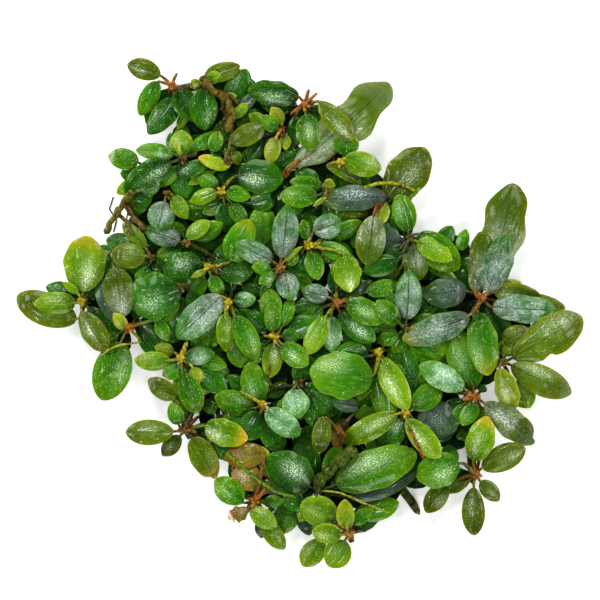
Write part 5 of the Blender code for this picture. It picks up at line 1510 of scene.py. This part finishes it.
def leaf_finish(name, tone):
    """The finish of one tone of leaf."""
    made = bpy.data.materials.new(f"{name}_leaf")
    made.use_nodes = True
    wires = Wiring(made.node_tree)
    shader = made.node_tree.nodes["Principled BSDF"]
    blade = wires.add("UVMap", {"uv_map": "blade"}).outputs["UV"]
    grown = wires.add("Attribute", {"attribute_name": "grown"}).outputs["Vector"]
    look = wires.add("Attribute", {"attribute_name": "look"}).outputs["Vector"]
    light, painted_sheen, gold = wires.add("SeparateXYZ", None, Vector=look).outputs
    marks = wires.add("Group", {"node_tree": leaf_marks}, Blade=blade, Grown=grown).outputs

    colour = wires.mix(wires.ease(marks["Ragged"], 0.02, 0.45), screen(*tone.base), screen(*tone.body))
    colour = wires.mix(wires.ease(marks["Ragged"], 0.45, 0.85), colour, screen(*tone.tip))
    # The silvery bloom of streaks and clouds is partly the leaf's own colour and partly painted sheen.
    bloom_and_sheen = wires.math("MAXIMUM", wires.math("MULTIPLY", marks["Streaks"], tone.streaks),
                       wires.math("MULTIPLY", marks["Clouds"], tone.clouds))
    bloom_and_sheen = wires.math("MULTIPLY", bloom_and_sheen, wires.math("MULTIPLY_ADD", marks["Grains"], 0.75, 0.25))
    beyond = wires.ease(marks["Ragged"], tone.reach - 0.12, tone.reach + 0.10)
    bloom_and_sheen = wires.math("MULTIPLY", bloom_and_sheen, wires.math("SUBTRACT", 1.0, beyond))
    colour = wires.mix(bloom_and_sheen, colour, screen(*tone.bloom_and_sheen))
    shade = wires.math("MULTIPLY_ADD", marks["Mottle"], MOTTLING, DARKEST)
    shade = wires.math("MULTIPLY_ADD", light, LIGHT_SPREAD, shade)
    grey = wires.add("CombineColor", None, Red=shade, Green=shade, Blue=shade).outputs[0]
    colour = wires.mix(1.0, colour, grey, "MULTIPLY")
    # the rim colour: the leaf's own pale margin and, further in, painted light through the thin edge
    colour = wires.mix(wires.math("MULTIPLY", marks["Rim_and_edge_light"], RIM_AND_EDGE_LIGHT_STRENGTH), colour, screen(*tone.rim_and_edge_light))
    colour = wires.mix(gold, colour, screen(*GOLD))
    colour = wires.mix(wires.math("MULTIPLY", marks["Midrib"], tone.ribbing), colour, screen(*tone.midrib))
    # pale specks, partly the leaf's own dots and partly painted glints
    colour = wires.mix(wires.math("MULTIPLY", marks["Specks_and_glints"], tone.specks_and_glints), colour, screen(*tone.bloom_and_sheen))
    # painted sheen: a pale patch, and in its grains white painted highlights where the wet skin catches the
    # light
    colour = wires.mix(wires.math("MULTIPLY", painted_sheen, SHEEN_TINT), colour, screen(*tone.bloom_and_sheen))
    painted_glint = wires.math("MULTIPLY", painted_sheen, wires.math("MULTIPLY", marks["Grains"], GRAIN_GLINT))
    colour = wires.mix(wires.math("MINIMUM", painted_glint, MOST_GLINT), colour, screen(*PAINTED_GLINT))
    wires.feed(shader.inputs["Base Color"], colour)

    rough = wires.math("MULTIPLY_ADD", marks["Grains"], -GRAIN_POLISH, LEAF_ROUGHNESS)
    wires.feed(shader.inputs["Roughness"], rough)
    shader.inputs["IOR"].default_value = LEAF_IOR
    shader.inputs["Specular IOR Level"].default_value = LEAF_SHINE
    shader.inputs["Coat Weight"].default_value = FILM_WEIGHT
    shader.inputs["Coat Roughness"].default_value = FILM_ROUGHNESS
    shader.inputs["Coat IOR"].default_value = FILM_IOR
    bump = wires.add("Bump", None, Strength=1.0, Distance=RELIEF_HEIGHT, Height=marks["Relief"])
    wires.feed(shader.inputs["Normal"], bump.outputs["Normal"])
    return made


leaf_finishes = {name: leaf_finish(name, tone) for name, tone in TONES.items()}
print("leaf finishes:", list(leaf_finishes))

# %% [markdown]
# ## Stalks, crowns, rhizomes and roots
#
# The crowns, where the stalks meet, are orange-brown, yellow or dark red, and the stalks turn
# green towards their blades. The rhizomes are dark olive-brown and knobbly, and young roots are
# yellow-green. A vertex colour named "bark" says what colour a stalk has at each place.

# %% Bark finish
def bark_finish(name, rough, relief_height):
    """The finish of stalks, stems, rhizomes and roots: the colour of their bark, mottled."""
    made = bpy.data.materials.new(name)
    made.use_nodes = True
    wires = Wiring(made.node_tree)
    shader = made.node_tree.nodes["Principled BSDF"]
    bark = wires.add("Attribute", {"attribute_name": "bark"}).outputs["Color"]
    grown = wires.add("Attribute", {"attribute_name": "grown"}).outputs["Vector"]
    mottles = wires.noise(grown, 1.3, 4.0)
    dark = wires.mix(1.0, bark, screen(120, 110, 90), "MULTIPLY")
    light = wires.mix(0.16, bark, screen(230, 210, 130))
    colour = wires.mix(wires.ease(mottles, 0.30, 0.60), dark, bark)
    colour = wires.mix(wires.math("MULTIPLY", wires.ease(mottles, 0.58, 0.72), 0.6), colour, light)
    wires.feed(shader.inputs["Base Color"], colour)
    wires.feed(shader.inputs["Roughness"], wires.math("MULTIPLY_ADD", mottles, 0.2, rough))
    shader.inputs["Specular IOR Level"].default_value = BARK_SHINE
    shader.inputs["Coat Weight"].default_value = BARK_FILM_WEIGHT
    shader.inputs["Coat Roughness"].default_value = BARK_FILM_ROUGHNESS
    shader.inputs["Coat IOR"].default_value = FILM_IOR
    bump = wires.add("Bump", None, Strength=1.0, Distance=relief_height, Height=mottles)
    wires.feed(shader.inputs["Normal"], bump.outputs["Normal"])
    return made


stalk_finish = bark_finish("stalk", 0.40, 0.12 * MM)
rhizome_finish = bark_finish("rhizome", 0.50, 0.45 * MM)
root_finish = bark_finish("root", 0.45, 0.08 * MM)

# %% [markdown]
# ## Stems, crowns and stalks of a rosette
#
# A stem is ringed by the scars of leaves that fell, and a few dry stubs of them stand round its
# crown. There the stalks spread like a small star. Each stalk starts inside the crown, runs to its
# blade and goes on under it as the keel of the midrib.

# %% Stalks and stems
ORANGE, RED, YELLOW, TAN, MOSS = (152, 100, 32), (104, 50, 24), (168, 152, 34), (110, 78, 30), (62, 72, 18)
CROWNS = {                         # the rosettes with a crown of each colour
    ORANGE: ("top_left", "top_right", "centre", "centre_left", "left", "right_tall", "lower_right",
             "bottom_mid", "bottom", "bottom_right", "wavy"),
    RED: ("upper_right", "top_inner"),
    TAN: ("bottom_left", "lower_brown"),
    MOSS: ("lower_mid",),
    YELLOW: ("upper_right_small", "centre_right", "centre_upper", "left_inner", "lower_left",
             "centre_low", "upper_inner", "low_right_inner", "left_mid", "lower_centre", "left_edge"),
}
CROWN_BARK = {rosette: bark for bark, rosettes in CROWNS.items() for rosette in rosettes}
# the stalks of SHADE leaves are darkened too, as painted shade
STALK_BARK = {SHADE: (26, 44, 12), DEEP: (40, 78, 20), GREEN: (60, 110, 24), FRESH: (130, 160, 40),
              LIME: (190, 185, 60), OLIVE: (110, 110, 34), SILVER: (100, 120, 60), MINT: (90, 130, 50),
              MIXED: (130, 110, 50), SLATE: (70, 80, 50), BROWN: (110, 80, 30), ROOT: (160, 158, 34)}
STALK_RADIUS, KEEL_RADIUS = 0.42 * MM, 0.12 * MM
SHEATH_RADIUS = 0.62 * MM          # of a stalk where it leaves the crown
KEEL_SHARE = 0.6                   # how far the keel runs under its blade
KEEL_DEPTH = 0.22 * MM             # how far its middle stays below the midrib
CROWN_OVER_LEAF = 0.5 * MM
CROWN_START, CROWN_LENGTH = 0.75, 0.27         # where a stem closes to its round crown, per height
SCAR_STEP = 1.1 * MM
SCAR_DEPTH = 0.14
STUBS, STUB_SEED = 4, 500          # dry stubs round a crown
STUB_TURN = 0.4                    # the most that one stands off its even place
STUB_REACH = (0.8 * MM, 1.9 * MM)
STUB_RISE = (0.1 * MM, 0.9 * MM)
STUB_RADIUS = (0.40 * MM, 0.62 * MM)
STUB_ROOT, STUB_BEND = 1.2 * MM, 0.4 * MM      # how far below the crown's top it starts and bends
STUB_LIGHTER = 1.15                # its end, over its foot
ROOT_SLIMNESS, SHOOT_SLIMNESS = 0.60, 0.75     # of a shoot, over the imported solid
SHOOT_BLUNT = 0.2                  # the share of a shoot over which its end closes


def bark_along(piece, model, start, end, reach=1.0):
    """Colour a tube from one bark to another along its length."""
    share = np.clip(corners(model)[:, 2] / reach, 0, 1)[:, None]
    first, last = np.array(screen(*start)), np.array(screen(*end))
    mark(piece, "bark", "FLOAT_COLOR", first + (last - first) * share)


def raised(point, height):
    return Vector((point.x, point.y, height))


def stalk(name, rosette, leaf, sections, number):
    """The stalk of a leaf, from inside the crown to under its blade."""
    inside = sections[0]
    knots = knots_along(leaf, sections)
    heights = [section.height for section in sections]
    stops, radii = [raised(inside.place, inside.height)], [SHEATH_RADIUS]
    if not sections[1].fans:
        stops.append(raised(leaf.base, sections[1].height))
        radii.append(STALK_RADIUS)
    for share, radius in ((0.25, STALK_RADIUS * 0.7), (KEEL_SHARE, KEEL_RADIUS)):
        height = float(smooth(knots, heights, np.array([share]))[0])
        stops.append(raised(leaf.spot(share), height - KEEL_DEPTH))
        radii.append(radius)
    made = bent_tube(stalk_model, name, stops, radii, stalk_finish, number)
    bark_along(made, stalk_model, CROWN_BARK.get(rosette, MOSS), STALK_BARK[leaf.tone], 0.55)
    return made


def shoot(name, rosette, leaf, sections, number):
    """A bare round shoot: a young stem, a stub or a root."""
    stops = [raised(section.place, section.height - section.thick / 2) for section in sections]
    slimness = ROOT_SLIMNESS if leaf.tone == ROOT else SHOOT_SLIMNESS
    radii = [section.half * slimness for section in sections]
    made = bent_tube(stalk_model, name, stops, radii, stalk_finish, number, SHOOT_BLUNT)
    bark = CROWN_BARK.get(rosette, MOSS) if leaf.tone == STEM else STALK_BARK[leaf.tone]
    bark_along(made, stalk_model, bark, bark)
    return made


def stem_piece(name, rosette, stem, sections_of_leaves, number):
    """A stem with its leaf scars, from its foot to its crown."""
    top = max(stem.top, max(sections[0].height for sections in sections_of_leaves) + CROWN_OVER_LEAF)
    flat = corners(stem_model)
    height = STEM_FOOT + (top - STEM_FOOT) * flat[:, 2]
    below = np.minimum(height, stem.top) - STEM_FOOT
    radius = STEM_RADIUS + (CROWN_RADIUS - STEM_RADIUS) * flat[:, 2]
    radius = radius * (1 + SCAR_DEPTH * (height / SCAR_STEP % 1.0 - 0.5))
    radius = radius * rounded(flat[:, 2], CROWN_START, CROWN_LENGTH)
    spots = np.column_stack([stem.foot.x + stem.slope.x * below + flat[:, 0] * radius,
                             stem.foot.y + stem.slope.y * below + flat[:, 1] * radius, height])
    made = copy_of(stem_model, name, spots, stalk_finish)
    turn = np.arctan2(flat[:, 1], flat[:, 0]) / math.tau
    map_blade(made, turn % 1.0, flat[:, 2])
    mark(made, "grown", "FLOAT_VECTOR",
         np.column_stack([turn * 6, height / MM, np.full(len(height), number * NUMBER_STEP)]))
    bark_along(made, stem_model, MOSS, CROWN_BARK.get(rosette, MOSS))
    return made


def stubs(rosette, stem, top, number):
    """Dry stubs round the crown, left by leaves that fell."""
    draw = np.random.default_rng(STUB_SEED + number)
    bark = CROWN_BARK.get(rosette, TAN)
    made = []
    for k in range(STUBS):
        heading = k * GOLDEN_ANGLE + draw.uniform(-STUB_TURN, STUB_TURN)
        out = Vector((math.cos(heading), math.sin(heading))) * draw.uniform(*STUB_REACH)
        rise, radius = draw.uniform(*STUB_RISE), draw.uniform(*STUB_RADIUS)
        stops = [raised(stem.crown, top - STUB_ROOT), raised(stem.crown + out * 0.6, top - STUB_BEND),
                 raised(stem.crown + out, top - STUB_BEND + rise)]
        radii = [radius, radius, radius * 0.7]
        stub = bent_tube(stalk_model, "stub", stops, radii, stalk_finish, number + k, SHOOT_BLUNT)
        bark_along(stub, stalk_model, bark, tuple(min(255, int(part * STUB_LIGHTER)) for part in bark))
        made.append(stub)
    return made


# %% [markdown]
# ## Dress the rosettes
#
# All leaves of a rosette grew from one stem, so they are joined into one piece. It takes the
# place of the plain solid, which stays hidden as the collision shape.


def join(pieces, name):
    """Join pieces into one, named piece."""
    bpy.ops.object.select_all(action="DESELECT")
    for piece in pieces:
        piece.select_set(True)
    bpy.context.view_layer.objects.active = pieces[0]
    bpy.ops.object.join()
    joined = bpy.context.object
    joined.name = joined.data.name = name
    return joined


number = 0
for rosette, leaves in laid.items():
    stem = stems[rosette]
    pieces = [stem_piece("stem", rosette, stem, [sections for _, sections in leaves], number)]
    pieces += stubs(rosette, stem, max(corners(pieces[0])[:, 2]), number)
    for leaf, sections in leaves:
        number += 1
        if leaf.shoot:
            pieces.append(shoot("shoot", rosette, leaf, sections, number))
            continue
        model = fine_model if leaf.look else plain_model if leaf.storey <= UNDER else blade_model
        pieces.append(bent_blade(model, "leaf", leaf, sections, number, leaf_finishes[leaf.tone]))
        pieces.append(stalk("stalk", rosette, leaf, sections, number))
    dressed = join(pieces, f"leaves_{rosette}")
    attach(dressed, "root")
    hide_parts(f"rosette_{rosette}")
print("leaves and shoots:", number)

# %% [markdown]
# ## The rhizomes
#
# A rhizome is a thick knobbly stem that creeps over the ground. Old leaf scars ring it, and its
# underside was cut flat when the clump was taken off. A tube with many rings follows the line
# through the stems' feet, swells a little at each scar, and is pressed flat at the ground.

# %% Rhizomes
RHIZOME_RING = 0.9 * MM
RHIZOME_SIDES = 10
RHIZOME_SEED = 1000
RHIZOME_SLIMNESS, RHIZOME_END = 0.98, 0.55     # its radius along it and at its ends, over the solid's
RHIZOME_BARK = (104, 88, 34), (78, 84, 28)     # at its two ends
KNOB = 0.16                        # how much a rhizome's radius changes along it
KNOB_RATES, KNOB_TURNS = (2.1, 3.7, 1.2), (1, 2, 3)    # of the waves along it and round it

for order, (name, stops) in enumerate(RHIZOMES.items()):
    line = creep(stops)
    length = sum((other - one).length for one, other in zip(line, line[1:]))
    model = model_tube("rhizome_model", RHIZOME_SIDES, round(length / RHIZOME_RING))
    middle = RHIZOME_TOP / 2
    radii = [RHIZOME_RADIUS * RHIZOME_SLIMNESS for _ in line]
    radii[0] = radii[-1] = RHIZOME_RADIUS * RHIZOME_END
    piece = bent_tube(model, f"rhizome_{name}_piece", [raised(spot, middle) for spot in line], radii,
                      rhizome_finish, RHIZOME_SEED + order, 0.02)
    spots, flat = corners(piece), corners(model)
    axis = np.stack([spots[:, 0], spots[:, 1], np.full(len(spots), middle)], axis=1)
    phases = np.random.default_rng(RHIZOME_SEED + order).uniform(0, math.tau, 3)
    swell = sum(np.sin(flat[:, 2] * length / MM * rate + np.arctan2(flat[:, 1], flat[:, 0]) * turns + phase)
                for rate, turns, phase in zip(KNOB_RATES, KNOB_TURNS, phases)) / 3
    spots[:, 2] = middle + (spots[:, 2] - middle) * (1 + KNOB * swell)
    spots[:, 2] = np.clip(spots[:, 2], 0.0, RHIZOME_TOP + GAP / 2)
    piece.data.vertices.foreach_set("co", spots.ravel())
    bark_along(piece, model, *RHIZOME_BARK)
    bpy.data.objects.remove(model)
    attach(piece, "root")
    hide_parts(f"rhizome_{name}")
print("rhizomes:", len(RHIZOMES))

# %% [markdown]
# ## Roots and bare rhizomes that lie over the leaves
#
# Here and there a young green root, a bare knobbly rhizome or a tuft of brown fibres lies over
# the leaves. Each is a tube along the pixels that it passes in the photograph, and it rests on
# the pile. A rhizome is bent and swollen a little at random, which makes it knobbly.

# %% Roots and bare rhizomes
GREEN_ROOT, YELLOW_ROOT, FIBRE = (104, 138, 14), (160, 158, 28), (104, 74, 34)
STRANDS = [                        # pixels that it passes, its width in pixels, its bark, its knobs
    ([(227, 452), (241, 465), (257, 479), (276, 491), (296, 497)], 3.4, GREEN_ROOT, 0.05),
    ([(364, 188), (377, 184), (390, 183), (403, 186), (415, 191)], 3.6, YELLOW_ROOT, 0.04),
    ([(133, 192), (122, 204), (117, 214), (110, 224), (104, 234)], 7.0, (100, 92, 14), 0.30),
    ([(124, 204), (134, 216), (147, 231)], 5.5, (108, 84, 28), 0.30),
    ([(117, 214), (128, 222), (133, 236)], 3.6, (98, 96, 30), 0.25),
    ([(203, 80), (214, 91), (227, 101), (233, 116), (227, 131)], 8.0, (104, 88, 12), 0.30),
    ([(215, 90), (230, 96), (238, 104)], 3.4, (120, 84, 30), 0.25),
    ([(318, 484), (328, 470), (341, 458), (357, 446)], 12.0, (72, 92, 8), 0.26),
    ([(326, 480), (337, 466), (350, 456)], 4.5, (120, 136, 16), 0.25),
    ([(272, 388), (268, 376), (270, 364)], 3.0, (90, 84, 24), 0.10),
    ([(229, 118), (232, 134), (229, 150), (224, 165)], 1.5, FIBRE, 0.10),
    ([(222, 122), (218, 136), (221, 152)], 1.3, FIBRE, 0.10),
    ([(234, 126), (229, 142), (234, 156)], 1.3, FIBRE, 0.10),
    ([(112, 196), (108, 208), (115, 220), (112, 232)], 1.6, FIBRE, 0.10),
    ([(138, 204), (128, 212), (126, 228)], 1.4, FIBRE, 0.10),
    ([(340, 427), (344, 436), (340, 446)], 3.0, (140, 92, 30), 0.15),
    ([(408, 426), (415, 440), (424, 458)], 4.0, (140, 96, 32), 0.15),
]
STRAND_SIDES, STRAND_RINGS, STRAND_SEED = 8, 26, 2000
STRAND_BLUNT = 0.06                # the share of its length over which its end closes
STRAND_STEP = 4                    # pixels between the stops of a strand
SINK = 0.3                         # how far it sinks between the leaves, per radius
MOST_SAG = 5 * MM                  # how far it hangs below its highest place


def rest_on_pile(spot, radius):
    """The height of the pile under a round spot."""
    x, y = disc(spot, max(radius, CELL))
    rows, columns = (y / CELL).astype(int), (x / CELL).astype(int)
    middle = [count // 2 for count in relief_of_pile.shape]
    return float(relief_of_pile[rows + middle[0], columns + middle[1]].max())


strand_model = model_tube("strand", STRAND_SIDES, STRAND_RINGS)
for order, (pixels, width, bark, knobs) in enumerate(STRANDS):
    draw = np.random.default_rng(STRAND_SEED + order)
    radius = width * PX / 2
    spots = [place(pixels[0])]
    for one, other in zip(pixels, pixels[1:]):
        steps = max(1, round(math.dist(one, other) / STRAND_STEP))
        spots += [place(one).lerp(place(other), (k + 1) / steps) for k in range(steps)]
    spots = [spot + Vector(draw.uniform(-1, 1, 2)) * knobs * radius for spot in spots]
    heights = [rest_on_pile(spot, radius) for spot in spots]
    heights = [max(height, max(heights) - MOST_SAG) for height in heights]
    for _ in range(SMOOTHINGS):
        for k in range(1, len(heights) - 1):
            heights[k] = max(heights[k], (heights[k - 1] + heights[k + 1]) / 2)
    stops = [raised(spot, height + radius * (1 - SINK)) for spot, height in zip(spots, heights)]
    radii = [radius * (1 + knobs * draw.uniform(-1, 1)) for _ in stops]
    piece = bent_tube(strand_model, f"strand_{order + 1:02d}", stops, radii, root_finish,
                      STRAND_SEED + order, STRAND_BLUNT)
    bark_along(piece, strand_model, bark, bark)
    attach(piece, "root")
print("roots and bare rhizomes:", len(STRANDS))

# %% Remove the models that were copied
for model in (blade_model, fine_model, plain_model, stalk_model, stem_model, strand_model):
    bpy.data.objects.remove(model)
